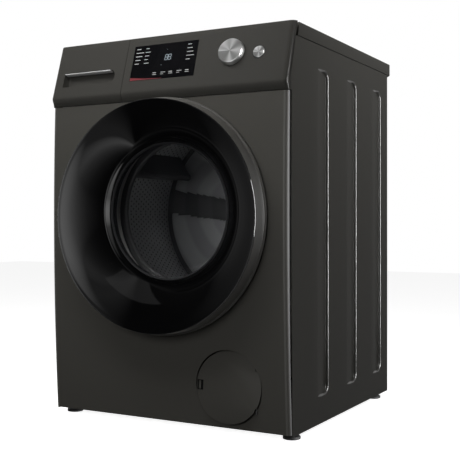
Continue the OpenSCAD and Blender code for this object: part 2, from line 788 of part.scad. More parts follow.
module inlet_valve() {
    color("#e4e4e0") at_cabinet() difference() {
        union() {
            block([valve_x - valve_half, valve_y, valve_z - valve_half - 2],
                  [valve_x + valve_half, rear_y - 3, valve_z + valve_half + 2]);
            rod_y(valve_x, valve_z, rear_y - 4, rear_y - seat, valve_half + 2);
            rod_y(valve_x, valve_z, rear_y - 4, cabinet_d + 24, 13.2);
            rod_y(valve_x, valve_z, valve_y - 20, valve_y + 1, 6);
        }
        rod_y(valve_x, valve_z, cabinet_d, cabinet_d + 26, 8);
    }
}
module inlet_hose() {
    color("#2a2a2a") at_cabinet()
        pipe_y(valve_x, valve_z, housing_back + 2, valve_y - 2, 6 + seat, 6 + seat + hose_t);
}
module fill_hose() {
    r_out = fill_r + seat + hose_t;
    z0 = axis_z + sqrt(tub_r * tub_r - pow(fill_x + r_out, 2)) + seat;
    color("#2a2a2a") at_cabinet()
        pipe_z(fill_x, fill_y, z0, housing_floor_z - 6, fill_r + seat, r_out);
}
module sump_hose() {
    color("#2a2a2a") at_cabinet()
        pipe_z(sump_x, sump_y, filter_z + housing_r + 6, sump_low_z + 14,
               spigot_r + seat, spigot_r + seat + hose_t);
}
module filter_housing() {
    color("#b9b9b5") at_cabinet() difference() {
        union() {
            rod_y(filter_x, filter_z, seat_tube_y + 4, pump_y - seat, housing_r);
            rod_y(filter_x, filter_z, seat_tube_y + seat, seat_tube_y + 6, housing_r + 6);
            rod_z(sump_x, sump_y, filter_z, filter_z + housing_r + 26, spigot_r);
        }
        rod_y(filter_x, filter_z, seat_tube_y - cut, pump_y - 6, cap_r + running);
        rod_z(sump_x, sump_y, filter_z, filter_z + housing_r + 30, spigot_r - 3);
    }
}
module filter_cap() {
    grip = 8;
    color("#d8d8d4") at_cabinet() {
        rod_y(filter_x, filter_z, seat_tube_y - 4, seat_tube_y + 40, cap_r);
        difference() {
            rod_y(filter_x, filter_z, seat_tube_y - 7, seat_tube_y, cap_r + 6);
            rod_y(filter_x, filter_z, seat_tube_y - 8, seat_tube_y - 5, cap_r + 3);
        }
        block([filter_x - grip / 2, seat_tube_y - 9, filter_z - cap_r + 2],
              [filter_x + grip / 2, seat_tube_y - 2, filter_z + cap_r - 2]);
    }
}
module drain_pump() {
    color("#3a3d40") at_cabinet() {
        rod_y(filter_x, filter_z, pump_y, pump_y + 30, housing_r - 2);
        rod_y(filter_x, filter_z, pump_y + 29, pump_back_y - 12, 26);
        rod_y(filter_x, filter_z, pump_back_y - 13, pump_back_y, pipe_r - 3);
    }
}
module drain_pipe() {
    y_bend = cabinet_d - 64;
    hole = pipe_r - 3 + seat;
    color("#2a2a2a") at_cabinet() {
        pipe_y(filter_x, filter_z, pump_back_y - 11, y_bend, hole, pipe_r);
        translate([filter_x, y_bend, filter_z + pipe_bend]) rotate([0, -90, 0]) rotate([0, 0, 180])
            rotate_extrude(angle = -90) translate([pipe_bend, 0]) difference() {
                circle(pipe_r);
                circle(hole);
            }
        pipe_z(filter_x, y_bend + pipe_bend, filter_z + pipe_bend, pipe_z - pipe_bend + 6, hole, pipe_r);
        translate([filter_x, y_bend + pipe_bend, pipe_z - 28]) pipe_elbow(28, hole);
        pipe_y(filter_x, pipe_z, y_bend + pipe_bend + 28, cabinet_d + 22, hole, pipe_r);
    }
}
module pipe_elbow(bend, hole) {
    translate([0, bend, 0]) rotate([0, -90, 0]) rotate([0, 0, -90])
        rotate_extrude(angle = 90) translate([bend, 0]) difference() {
            circle(pipe_r);
            circle(hole);
        }
}

// ---- Bellows, lock and hinge bracket ----

// Outline of a line through the points p with a thickness t
function beside(p, i, t) = i == 0 ? p[0] + t * right_of(p[0], p[1])
    : i == len(p) - 1 ? p[i] + t * right_of(p[i - 1], p[i])
    : mitre(p[i - 1], p[i], p[i + 1], t);
function thick_line(p, t) = concat([for (i = [0 : len(p) - 1]) beside(p, i, t / 2)],
                                   [for (i = [len(p) - 1 : -1 : 0]) beside(p, i, -t / 2)]);
module door_gasket() {
    t = 2.6;
    seal_r = glass_r + 1.6;
    color("#55585a") at_cabinet() turned_y(0, axis_z) polygon(thick_line([
        [opening_r + 2, lip_end_y + 2], [opening_r - 2, lip_end_y + 10], [seal_r + 6, lip_end_y + 13],
        [seal_r, lip_end_y + 18], [seal_r + 6, lip_end_y + 28], [opening_r - 5, lip_end_y + 33],
        [opening_r, lip_end_y + 40], [neck_r + 4 + sheet_t, lip_end_y + 45.5]], t));
}
module door_lock() {
    low = window_z - hook_slot[1] - 10;
    high = window_z + hook_slot[1] + 10;
    y0 = sheet_t + seat;
    color("#dcdcd8") at_cabinet() difference() {
        block([opening_r + sheet_t + 4, y0, low], [hook_x + hook_slot[0] + 12, hook_tip_y + 10, high]);
        block([hook_x - hook_slot[0], y0 - cut, window_z - hook_slot[1]],
              [hook_x + hook_slot[0], hook_tip_y + 4, window_z + hook_slot[1]]);
    }
}
module hinge_bracket() {
    plate_low = door_z - knuckle_end - 20;
    plate_high = door_z + knuckle_end + 20;
    plate_y = max(bow_y(plate_low), bow_y(plate_high)) + sheet_t + seat;
    z_end = door_z + knuckle_end;
    color("silver") at_cabinet() {
        block([-hinge_x - 16, plate_y, plate_low], [-hinge_x + 22, plate_y + 4, plate_high]);
        for (side = [-1, 1]) {
            z0 = side > 0 ? door_z + arm_half + knuckle_gap : door_z - knuckle_end;
            z1 = side > 0 ? z_end : door_z - arm_half - knuckle_gap;
            block([-hinge_x - arm_leg, -hinge_out, z0], [-hinge_x + arm_leg, plate_y + 1, z1]);
            rod_z(-hinge_x, -hinge_out, z0, z1, knuckle_r);
        }
        rod_z(-hinge_x, -hinge_out, door_z - knuckle_end, z_end, hinge_pin_r);
    }
}

// ---- Tub ----

module tub_front() {
    color("#d9dad6") at_cabinet() {
        turned_y(0, axis_z) polygon([
            [neck_r, lip_end_y + 46], [neck_r + 4, lip_end_y + 46], [neck_r + 4, tub_front_y],
            [tub_r - 12, tub_front_y], [tub_r, tub_front_y + 12], [tub_r, tub_split_y - 5],
            [tub_flange_r, tub_split_y - 5], [tub_flange_r, tub_split_y], [tub_r - tub_wall, tub_split_y],
            [tub_r - tub_wall, tub_front_y + 14], [tub_r - 14, tub_front_y + tub_wall],
            [neck_r, tub_front_y + tub_wall]]);
        difference() {
            rod_z(sump_x, sump_y, sump_low_z, axis_z - 200, spigot_r);
            rod_z(sump_x, sump_y, sump_low_z - cut, axis_z - 190, spigot_r - 3);
            rod_y(0, axis_z, 0, tub_split_y, tub_r - 0.5);
        }
        difference() {
            rod_z(fill_x, fill_y, axis_z + 60, fill_top_z(), fill_r);
            rod_z(fill_x, fill_y, axis_z + 50, fill_top_z() + cut, fill_r - 2.5);
            rod_y(0, axis_z, 0, tub_split_y, tub_r - 0.5);
        }
        spring_lugs(spring_ys[0]);
    }
}
function fill_top_z() = axis_z + sqrt(tub_r * tub_r - fill_x * fill_x) + 30;
module spring_lugs(y) {
    both_sides() difference() {
        block([0, y - 13, spring_low_z - seat - 5], [spring_x + coil_r, y + 13, spring_low_z - seat]);
        rod_y(0, axis_z, 0, cabinet_d, tub_r - 0.5);
    }
}
module tub_rear() {
    wall_y = tub_back_y;
    color("#cfd0cc") at_cabinet() difference() {
        union() {
            turned_y(0, axis_z) polygon([
                [tub_flange_r, tub_split_y + seat], [tub_flange_r, tub_split_y + 6], [tub_r, tub_split_y + 6],
                [tub_r, wall_y], [tub_r - 8, wall_y + tub_wall], [bearing_r + 6, wall_y + tub_wall],
                [bearing_r + 6, hub_back_y], [bearing_r, hub_back_y], [bearing_r, wall_y - 1],
                [bearing_r + 6, wall_y - 1], [bearing_r + 8, wall_y], [tub_r - tub_wall, wall_y - 4],
                [tub_r - tub_wall, tub_split_y + seat]]);
            for (i = [0 : 11]) translate([0, 0, axis_z]) rotate([0, i * 30, 0])
                block([bearing_r + 5, wall_y + 2, -2], [tub_r - 20, wall_y + 24, 2]);
            spring_lugs(spring_ys[1]);
            both_sides() damper_shelf();
            motor_cradle();
        }
        rod_y(0, axis_z, tub_split_y - cut, wall_y - 6, tub_r - tub_wall);
        for (side = [-1, 1]) rod_y(side * heater_x, heater_z, wall_y - 20, wall_y + 40, heater_r + running);
    }
}
module damper_shelf() {
    difference() {
        block([damper_x - 9, damper_y - 9, damper_top + 80], [damper_x + 9, damper_y + 9, axis_z - 140]);
        rod_y(0, axis_z, 0, cabinet_d, tub_r - 0.5);
    }
}
module motor_cradle() {
    difference() {
        union() for (y = [motor_y0 + 20, motor_y1 - 32])
            block([motor_x - 40, y, motor_z + motor_r - 12], [motor_x + 40, y + 12, axis_z - 200]);
        rod_y(motor_x, motor_z, 0, cabinet_d, motor_r + seat);
        rod_y(0, axis_z, 0, tub_back_y, tub_r - 0.5);
    }
}
module arc_weight(from, to) {
    translate([0, 0, axis_z]) rotate([-90, 0, 0]) rotate([0, 0, from])
        rotate_extrude(angle = to - from) translate([neck_r + 10, tub_front_y - 26])
            square([tub_r - neck_r - 16, 26 - seat]);
}
module counterweight_front() {
    color("#9a9a94") at_cabinet() {
        arc_weight(20, 160);
        arc_weight(215, 325);
    }
}
module counterweight_top() {
    color("#9a9a94") at_cabinet() difference() {
        block([display_left, tub_front_y + 42, axis_z + 200], [130, tub_split_y - 12, tray_top - 2]);
        rod_y(0, axis_z, 0, cabinet_d, tub_r + seat);
    }
}
heater_x = 30;
heater_r = 4;
heater_z = axis_z - (drum_r + tub_r - tub_wall) / 2 + 1;
module heater() {
    y0 = 130;
    color("silver") at_cabinet() {
        for (side = [-1, 1]) rod_y(side * heater_x, heater_z, y0 + heater_x, tub_back_y + 22, heater_r);
        translate([0, y0 + heater_x, heater_z]) rotate([0, 0, 180]) rotate_extrude(angle = 180)
            translate([heater_x, 0]) circle(heater_r);
        for (side = [-1, 1]) rod_y(side * heater_x, heater_z, tub_back_y + 18, tub_back_y + 26, 3);
    }
}
module drum_bearings() {
    color("silver") at_cabinet() for (y = [tub_back_y + 1, hub_back_y - bearing_w - 1]) difference() {
        rod_y(0, axis_z, y, y + bearing_w, bearing_r);
        rod_y(0, axis_z, y - cut, y + bearing_w + cut, shaft_r + running);
    }
}
module motor() {
    color("#8c8f91") at_cabinet() difference() {
        union() {
            rod_y(motor_x, motor_z, motor_y0, motor_y1, motor_r);
            rod_y(motor_x, motor_z, motor_y1 - 1, motor_y1 + 14, motor_r / 2);
        }
        rod_y(motor_x, motor_z, motor_y1 - 40, motor_y1 + 20, 6 + running);
        for (a = [0 : 45 : 315]) translate([motor_x, 0, motor_z]) rotate([0, a, 0])
            block([motor_r - 16, motor_y0 + 20, -8], [motor_r + cut, motor_y1 - 20, 8]);
    }
}
module motor_pulley() {
    color("silver") at_cabinet() {
        rod_y(motor_x, motor_z, motor_y1 - 38, pulley_y + pulley_w, 6);
        rod_y(motor_x, motor_z, pulley_y, pulley_y + pulley_w, motor_pulley_r);
    }
}
module belt_outline(grow) {
    hull() {
        translate([0, axis_z]) circle(pulley_r + grow);
        translate([motor_x, motor_z]) circle(motor_pulley_r + grow);
    }
}
module drive_belt() {
    color("#1b1b1b") at_cabinet() along_y(pulley_y + 3, pulley_y + pulley_w - 3) difference() {
        belt_outline(seat + 0.2 + belt_t);
        belt_outline(seat + 0.2);
    }
}
module damper_rods() {
    color("silver") at_cabinet() both_sides()
        rod_z(damper_x, damper_y, damper_top - 54, damper_top + 80 - seat, rod_r);
}
module damper_cylinders() {
    low = sheet_t + seat + 8 + seat;
    color("#3a3d40") at_cabinet() both_sides() difference() {
        rod_z(damper_x, damper_y, low, damper_top, damper_r);
        rod_z(damper_x, damper_y, low + 12, damper_top + cut, rod_r + running);
    }
}
// Rings of points round the wire's centre line, joined into a closed tube
module coil_spring(height, turns, coil, wire) {
    per_turn = 10;
    sides = 6;
    n = turns * per_turn;
    rings = [for (i = [0 : n]) let (a = i * 360 / per_turn, z = wire + (height - 2 * wire) * i / n)
        for (j = [0 : sides - 1]) let (b = j * 360 / sides, r = coil + wire * cos(b))
            [r * cos(a), r * sin(a), z + wire * sin(b)]];
    walls = [for (i = [0 : n - 1]) for (j = [0 : sides - 1]) let (k = (j + 1) % sides)
        [i * sides + j, (i + 1) * sides + j, (i + 1) * sides + k, i * sides + k]];
    first = [for (j = [0 : sides - 1]) j];
    last = [for (j = [sides - 1 : -1 : 0]) n * sides + j];
    polyhedron(rings, concat(walls, [first, last]));
}
module suspension_springs() {
    color("silver") at_cabinet() both_sides() for (y = spring_ys)
        translate([spring_x, y, spring_low_z])
            coil_spring(spring_high_z - spring_low_z, 7, coil_r - wire_r, wire_r);
}

// ---- Drum ----

module drum_shell() {
    color("#b8bbbd") at_cabinet() turned_y(0, axis_z) polygon([
        [mouth_r, drum_front_y + 8], [mouth_r + 2, drum_front_y], [drum_r - 14, drum_front_y],
        [drum_r, drum_front_y + 14], [drum_r, drum_back_y], [0, drum_back_y], [0, drum_back_y - drum_t],
        [drum_r - drum_t, drum_back_y - drum_t], [drum_r - drum_t, drum_front_y + 14 + drum_t / 2],
        [drum_r - 14 - drum_t / 2, drum_front_y + drum_t], [mouth_r + 2 + drum_t, drum_front_y + drum_t],
        [mouth_r + drum_t, drum_front_y + 8]]);
}
module drum_lifters() {
    base = 34;
    tip = 9;
    root = sqrt(pow(drum_r - drum_t - seat, 2) - base * base);
    color("#d8dadb") at_cabinet() for (a = [0, 120, 240])
        translate([0, 0, axis_z]) rotate([0, a, 0]) along_y(drum_front_y + 24, drum_back_y - 20) {
            polygon([[-base, -root], [-tip, lifter_h - root - tip],
                     [tip, lifter_h - root - tip], [base, -root]]);
            translate([0, lifter_h - root - tip]) circle(tip);
        }
}
module drum_spider() {
    y0 = drum_back_y + seat;
    color("#a9acae") at_cabinet() {
        rod_y(0, axis_z, y0, pulley_y + pulley_w + 4, shaft_r);
        rod_y(0, axis_z, y0, y0 + spider_t, bearing_r);
        for (a = [90, 210, 330]) translate([0, 0, axis_z]) rotate([0, a, 0])
            block([0, y0, -16], [drum_r - 6, y0 + spider_t - 2, 16]);
    }
}
module drum_pulley() {
    y1 = pulley_y + pulley_w;
    color("#a9acae") at_cabinet() difference() {
        union() {
            pipe_y(0, axis_z, pulley_y, y1, pulley_r - 8, pulley_r);
            pipe_y(0, axis_z, pulley_y, y1, shaft_r + running, shaft_r + 14);
            for (a = [0 : 60 : 300]) translate([0, 0, axis_z]) rotate([0, a, 0])
                block([shaft_r + 10, pulley_y + 3, -9], [pulley_r - 6, y1 - 5, 9]);
        }
        rod_y(0, axis_z, pulley_y - cut, y1 + cut, shaft_r + running);
    }
}

// ---- Door ----

module hinge_notch() {
    block([-hinge_x - 14, door_face_y + 5, door_z - notch_half], [-hinge_x + 14, cut, door_z + notch_half]);
}
module door_rim() {
    front = door_face_y + 1 + dish_t + seat;
    color("#121213") at_cabinet() difference() {
        turned_y(0, door_z) polygon([
            [door_r - 2.6, front], [door_r, front], [door_r + 2.4, door_back_y - 7],
            [door_foot_r, door_back_y - 4],
            [door_foot_r, door_back_y], [frame_r + seat, door_back_y], [frame_r + seat, door_back_y - 2.5],
            [door_r - 1.5, door_back_y - 2.5]]);
        hinge_notch();
    }
}
// Closed ring lofted through circles [radius, y, height of the circle's centre]
module loft(circles, n = 72) {
    m = len(circles);
    points = [for (c = circles) for (j = [0 : n - 1]) let (a = j * 360 / n)
        [c[0] * cos(a), c[1], c[2] + c[0] * sin(a)]];
    faces = [for (i = [0 : m - 1]) for (j = [0 : n - 1]) let (k = (j + 1) % n, next = (i + 1) % m)
        each [[i * n + j, i * n + k, next * n + k], [i * n + j, next * n + k, next * n + j]]];
    polyhedron(points, faces);
}
dish_t = 2.5;
dish_steps = 8;
dish_roll = 12;
// The dish is a shallow cone that rolls over into the window
function dish(t, back) = [
    (door_r - 3.5) + (window_r + seat - door_r + 3.5) * t,
    door_face_y + 1 + (window_y - door_face_y - 1) * (t + pow(t, dish_roll)) / 2 + back,
    door_z + window_rise * t];
module door_cover() {
    front = [for (i = [0 : dish_steps]) dish(sin(90 * i / dish_steps), 0)];
    back = [for (i = [0 : dish_steps]) dish(sin(90 * i / dish_steps), dish_t)];
    color("#0b0b0c") at_cabinet() loft(concat(
        [[door_r, door_face_y + 3, door_z], [door_r - 0.3, door_face_y + 0.8, door_z],
         [door_r - 1.5, door_face_y, door_z]], front, reversed(back)));
}
module door_window_ring() {
    color("#77797b") at_cabinet() turned_y(0, window_z) polygon([
        [window_r, window_y], [glass_r, window_y + 11.3], [glass_r, ring_back_y],
        [window_r - 2, ring_back_y], [window_r, ring_back_y - 2.5]]);
}
module door_glass() {
    f = flange_y;
    r = glass_r - 0.5;
    color([0.7, 0.75, 0.78, 0.4]) at_cabinet() turned_y(0, window_z) polygon([
        [r - glass_t, f], [window_r - 2, f], [window_r - 2, f + glass_flange_t], [r, f + glass_flange_t],
        [nose_r + 2, nose_y - 6], [nose_r - 4, nose_y], [0, nose_y + 3], [0, nose_y + 3 - glass_t],
        [nose_r - 6, nose_y - glass_t], [nose_r + 1 - glass_t, nose_y - 8]]);
}
module door_inner_frame() {
    color("#8b8e90") at_cabinet() difference() {
        union() {
            difference() {
                rod_y(0, door_z, door_back_y - frame_t, door_back_y, frame_r);
                rod_y(0, window_z, door_back_y - frame_t - cut, door_back_y + cut, plug_r - 2);
            }
            turned_y(0, window_z) polygon([
                [plug_r - 2, door_back_y - frame_t], [plug_r, door_back_y - frame_t],
                [plug_r, plug_back_y - 3],
                [plug_r - 3, plug_back_y], [glass_r + 1, plug_back_y], [glass_r + 1, plug_back_y - frame_t],
                [plug_r - 2, plug_back_y - frame_t]]);
            for (z = [-1, 1]) block(
                [hook_x - 10, hook_pivot_y - 7, window_z + z * 13 - 2],
                [hook_x + 10, door_back_y - 1, window_z + z * 13 + 2]);
        }
        block([hook_x - 8, hook_pivot_y - 20, window_z - 8], [hook_x + 9, cut, window_z + 8]);
        rod_z(hook_x, hook_pivot_y, window_z - 20, window_z + 20, 2 + running);
        hinge_notch();
    }
}
module door_hinge_arm() {
    back = door_back_y - frame_t - seat;
    color("silver") at_cabinet() difference() {
        union() {
            rod_z(-hinge_x, -hinge_out, door_z - arm_half, door_z + arm_half, knuckle_r);
            block([-hinge_x - arm_leg, -hinge_out, door_z - arm_half],
                  [-hinge_x + arm_leg, back, door_z + arm_half]);
            block([-hinge_x - arm_leg, back - 4, door_z - arm_half],
                  [-frame_r + 42, back, door_z + arm_half]);
        }
        rod_z(-hinge_x, -hinge_out, door_z - knuckle_end, door_z + knuckle_end, hinge_pin_r + running);
    }
}
module door_hook() {
    color("silver") at_cabinet() {
        rod_z(hook_x, hook_pivot_y, window_z - 16, window_z + 16, 2);
        rod_z(hook_x, hook_pivot_y, window_z - 7, window_z + 7, 4);
        block([hook_x - 3, hook_pivot_y, window_z - 7], [hook_x + 3, hook_tip_y - 5, window_z + 7]);
        along_z(window_z - 7, window_z + 7) polygon([
            [hook_x + 3, hook_tip_y - 9], [hook_x - 7, hook_tip_y - 9],
            [hook_x - 1, hook_tip_y], [hook_x + 3, hook_tip_y]]);
    }
}
module along_z(z0, z1) { translate([0, 0, z0]) linear_extrude(z1 - z0) children(); }

// ---- Filter flap and feet ----

module filter_door() {
    tab_left = filter_x - filter_r;
    color("#3d3936") at_cabinet() {
        difference() {
            intersection() {
                rod_y(filter_x, filter_z, -cut, 60, filter_r);
                along_x(0, half_w) polygon(concat(
                    [for (z = stations(0, 2 * filter_z, 16)) [bow_y(z), z]],
                    [for (z = reversed(stations(0, 2 * filter_z, 16))) [bow_y(z) + flap_t, z]]));
            }
            for (low = [filter_z - filter_r, filter_z + flap_relief_z])
                block([flap_axis_x - flap_relief, -cut, low],
                      [filter_x + filter_r, 60, low + filter_r - flap_relief_z]);
            for (side = [-1, 1]) block([tab_left - cut, -cut, filter_z - 1 + side * 7 - 3.5],
                                       [tab_left + 17, 60, filter_z - 1 + side * 7 + 3.5]);
        }
        at_flap_hinge() cylinder(r = flap_depth - 0.3, h = 2 * flap_barrel_half, center = true);
        at_flap_hinge() cylinder(r = flap_pin_r, h = 2 * flap_pin_half, center = true);
    }
}
module foot(x, y) {
    color("#1a1a1a") at_cabinet() {
        rod_z(x, y, -foot_h, foot_disc_t - foot_h, foot_r);
        rod_z(x, y, foot_disc_t - foot_h - 0.5, -0.3, stem_r + 4);
        rod_z(x, y, -foot_h + 1, stem_top - 4, stem_r);
    }
}
module foot_front_left() { foot(foot_side - half_w, foot_front); }
module foot_front_right() { foot(half_w - foot_side, foot_front); }
module foot_rear_left() { foot(foot_side - half_w, cabinet_d - foot_back); }
module foot_rear_right() { foot(half_w - foot_side, cabinet_d - foot_back); }

side_panel_left();
side_panel_right();
rear_panel();
rear_cover();
base_tray();
front_panel();
top_panel();
control_fascia();
display_window();
control_board();
front_rail();
dispenser_housing();
inlet_valve();
inlet_hose();
drain_pump();
filter_housing();
door_lock();
door_gasket();
hinge_bracket();
transit_caps();
panel_screws();
cord_gland();
drain_pipe();
damper_cylinders();
tub_front();
tub_rear();
counterweight_front();
counterweight_top();
heater();
drum_bearings();
motor();
drive_belt();
damper_rods();
suspension_springs();
sump_hose();
fill_hose();
drum_shell();
drum_lifters();
drum_spider();
drum_pulley();
motor_pulley();
door_rim();
door_cover();
door_window_ring();
door_glass();
door_inner_frame();
door_hinge_arm();
door_hook();
drawer_front();
drawer_tray();
drawer_handle();
siphon_cap();
program_knob();
start_button();
filter_door();
filter_cap();
foot_front_left();
foot_front_right();
foot_rear_left();
foot_rear_right();
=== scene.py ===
"""Looks of a front-loading washing machine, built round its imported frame.

Lengths are in metres. X runs to the right, Y to the back and Z up.
"""
import math

import bmesh
import bpy
from bpy.props import FloatProperty, FloatVectorProperty, PointerProperty
from bpy.types import Operator, Panel, PropertyGroup
from mathutils import Matrix, Vector


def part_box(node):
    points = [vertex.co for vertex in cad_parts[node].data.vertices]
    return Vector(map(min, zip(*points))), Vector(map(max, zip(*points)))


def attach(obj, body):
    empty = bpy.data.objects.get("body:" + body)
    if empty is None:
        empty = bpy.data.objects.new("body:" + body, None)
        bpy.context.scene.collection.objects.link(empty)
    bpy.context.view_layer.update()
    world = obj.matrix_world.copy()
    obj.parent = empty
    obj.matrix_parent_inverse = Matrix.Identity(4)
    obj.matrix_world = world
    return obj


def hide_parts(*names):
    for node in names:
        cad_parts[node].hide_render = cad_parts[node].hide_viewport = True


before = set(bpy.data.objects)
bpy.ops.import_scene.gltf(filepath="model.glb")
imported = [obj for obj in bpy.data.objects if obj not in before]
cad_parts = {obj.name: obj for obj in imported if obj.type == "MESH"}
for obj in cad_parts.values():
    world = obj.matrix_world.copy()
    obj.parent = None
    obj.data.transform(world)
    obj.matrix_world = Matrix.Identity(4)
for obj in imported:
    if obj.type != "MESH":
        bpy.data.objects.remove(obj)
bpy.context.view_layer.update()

bl_info = {
    "name": "Front-loading washing machine",
    "version": (1, 0, 0),
    "blender": (4, 5, 0),
    "location": "View3D > Sidebar > Washer",
    "description": "Builds the looks of a front-loading washing machine round its frame",
    "category": "Object",
}

# ---- Places read from the frame ----

def lowest(node, axis):
    """Lower end of a frame node's box along x, y or z."""
    return getattr(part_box(node)[0], axis)


def highest(node, axis):
    return getattr(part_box(node)[1], axis)


def middle(node, axis):
    return (lowest(node, axis) + highest(node, axis)) / 2


def half_size(node, axis):
    return (highest(node, axis) - lowest(node, axis)) / 2


DOOR_OUT = 0.043
FASCIA_RUN = 0.0385
FOOT = lowest("side_panel_right", "z")
HALF_W = highest("side_panel_right", "x")
FRONT = lowest("door_cover", "y") + DOOR_OUT
DEPTH = highest("side_panel_right", "y") - FRONT
LID_Z = highest("side_panel_right", "z") - FOOT
TOP = highest("top_panel", "z") - FOOT
LID_FRONT = lowest("top_panel", "y") - FRONT
LID_BACK = highest("top_panel", "y") - FRONT
SEAM = highest("front_panel", "z") - FOOT
PANEL_FOOT = lowest("front_panel", "z") - FOOT
LIP_OUT = FRONT - lowest("control_fascia", "y")
LIP_Z = SEAM + 0.020
LEAN = math.atan2(FASCIA_RUN, TOP - LIP_Z)
DRAWER_RIGHT = highest("drawer_front", "x")
DISPLAY_LEFT = lowest("display_window", "x") + 0.002
DISPLAY_RIGHT = highest("display_window", "x") - 0.002
KNOB_X = middle("program_knob", "x")
BUTTON_X = middle("start_button", "x")
BUTTON_R = half_size("start_button", "x")
WINDOW_Z = middle("drum_shell", "z") - FOOT
WINDOW_R = half_size("door_window_ring", "x")
DOOR_Z = middle("door_cover", "z") - FOOT
DOOR_R = half_size("door_cover", "x")
DOOR_FOOT_R = half_size("door_rim", "z")
DRUM_R = half_size("drum_shell", "x")
DRUM_FRONT = lowest("drum_shell", "y") - FRONT
DRUM_BACK = highest("drum_shell", "y") - FRONT
FILTER_X = middle("filter_door", "x")
FILTER_R = half_size("filter_door", "x")

# Heights of the round filter flap's middle, and of the display and controls up the fascia's slope
FILTER_Z = 0.090
DISPLAY_BOTTOM, DISPLAY_TOP = 0.026, 0.110
KNOB_RISE, BUTTON_RISE = 0.070, 0.066

# Thickness of the painted sheet, and the inner radius that leaves a turned piece open on its axis
SHEET = 0.0012
AXIS = 0.0001

# Depth of each side rib's rear wall behind the front line
RIB_WALLS = [0.211 + i * 0.1727 for i in range(3)]

# Steps round the door, and the height of the lobes pressed into the drum's back
DOOR_STEPS = 192
LOBE_HEIGHT = 0.007

# The filter flap: the gap round it, its thickness and how far its hinge lies inside its rim
FLAP_GAP, FLAP_THICK, FLAP_HINGE_IN = 0.0016, 0.0025, 0.0112


def washer():
    return bpy.context.scene.washer


def at(x, y, z):
    """A point measured from the foot of the front panel's foremost line, in the frame."""
    return Vector((x, FRONT + y, FOOT + z))


def slope_matrix():
    """Local frame of the fascia: x to the right, y up the slope from its lip, z out of the face."""
    return Matrix.Translation(at(0, -LIP_OUT, LIP_Z)) @ Matrix.Rotation(math.pi / 2 - LEAN, 4, "X")


# ---- Outlines and meshes ----

def arc(cx, cy, radius, start, stop, steps):
    """Points along a circular arc, angles in degrees."""
    return [(cx + radius * math.cos(math.radians(start + (stop - start) * i / steps)),
             cy + radius * math.sin(math.radians(start + (stop - start) * i / steps)))
            for i in range(steps + 1)]


def around(count):
    """Equal angles round a full turn."""
    return [2 * math.pi * k / count for k in range(count)]


def circle(cx, cy, radius, count):
    return [(cx + radius * math.cos(a), cy + radius * math.sin(a)) for a in around(count)]


def filleted(corners, steps=4):
    """A closed outline with each corner (a, b, radius) rounded."""
    points = []
    count = len(corners)
    for i, (a, b, radius) in enumerate(corners):
        here = Vector((a, b))
        before = Vector(corners[i - 1][:2]) - here
        after = Vector(corners[(i + 1) % count][:2]) - here
        if radius <= 0 or before.length < 1e-9 or after.length < 1e-9:
            points.append((a, b))
            continue
        before.normalize()
        after.normalize()
        half = math.acos(max(-1.0, min(1.0, before.dot(after)))) / 2
        if half > math.radians(88.5):
            points.append((a, b))
            continue
        reach = radius / math.tan(half)
        centre = here + (before + after).normalized() * (radius / math.sin(half))
        first = here + before * reach - centre
        turn = (here + after * reach - centre).angle_signed(first)
        for k in range(steps + 1):
            spin = Matrix.Rotation(turn * k / steps, 2)
            points.append(tuple(centre + spin @ first))
    return points


def rounded_box(x0, y0, x1, y1, radius):
    """A rectangle's outline with its corners rounded."""
    return filleted([(x0, y0, radius), (x1, y0, radius), (x1, y1, radius), (x0, y1, radius)], 2)


def settled(bm, mesh):
    """The mesh filled from a bmesh that is done with."""
    bm.to_mesh(mesh)
    bm.free()
    return mesh


def cleaned(mesh):
    """The mesh with its double points merged and its faces turned outwards."""
    bm = bmesh.new()
    bm.from_mesh(mesh)
    bmesh.ops.remove_doubles(bm, verts=bm.verts, dist=1e-6)
    bmesh.ops.recalc_face_normals(bm, faces=bm.faces)
    return settled(bm, mesh)


def from_points(name, verts, faces):
    mesh = bpy.data.meshes.new(name)
    mesh.from_pydata([tuple(v) for v in verts], [], faces)
    return cleaned(mesh)


def dress(name, mesh, look, body, replaces=(), sharp=32):
    """Makes a piece from a mesh, smooth apart from edges sharper than sharp degrees."""
    cleaned(mesh)
    mesh.polygons.foreach_set("use_smooth", [True] * len(mesh.polygons))
    mesh.set_sharp_from_angle(angle=math.radians(sharp))
    mesh.materials.clear()
    mesh.materials.append(MATERIALS[look])
    piece = bpy.data.objects.new(name, mesh)
    bpy.context.scene.collection.objects.link(piece)
    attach(piece, body)
    if replaces:
        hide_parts(*replaces)
    return piece


def skin(loops, steps):
    """Points and faces of equally long closed loops, each of the first steps joined to the next one."""
    rows, width = len(loops), len(loops[0])
    faces = []
    for i in range(steps):
        for j in range(width):
            k, n = (i + 1) % rows, (j + 1) % width
            faces.append((i * width + j, i * width + n, k * width + n, k * width + j))
    return [point for loop in loops for point in loop], faces


def round_skin(loops):
    """Skins closed loops that follow each other round a ring."""
    return skin(loops, len(loops))


def turned(profile, x, z, segments=144):
    """A solid of revolution about a line along Y: profile is a closed list of (radius, depth)."""
    return round_skin([[at(x + r * math.cos(a), y, z + r * math.sin(a)) for r, y in profile]
                       for a in around(segments)])


def spun(profile, segments=96):
    """A solid of revolution about the local Z axis: profile is a closed list of (radius, height)."""
    return round_skin([[(r * math.cos(a), r * math.sin(a), z) for r, z in profile] for a in around(segments)])


def lofted(sections):
    """Skins a list of equally long closed sections and caps both ends."""
    verts, faces = skin(sections, len(sections) - 1)
    width = len(sections[0])
    return verts, faces + [tuple(range(width)), tuple(range(len(verts) - width, len(verts)))]


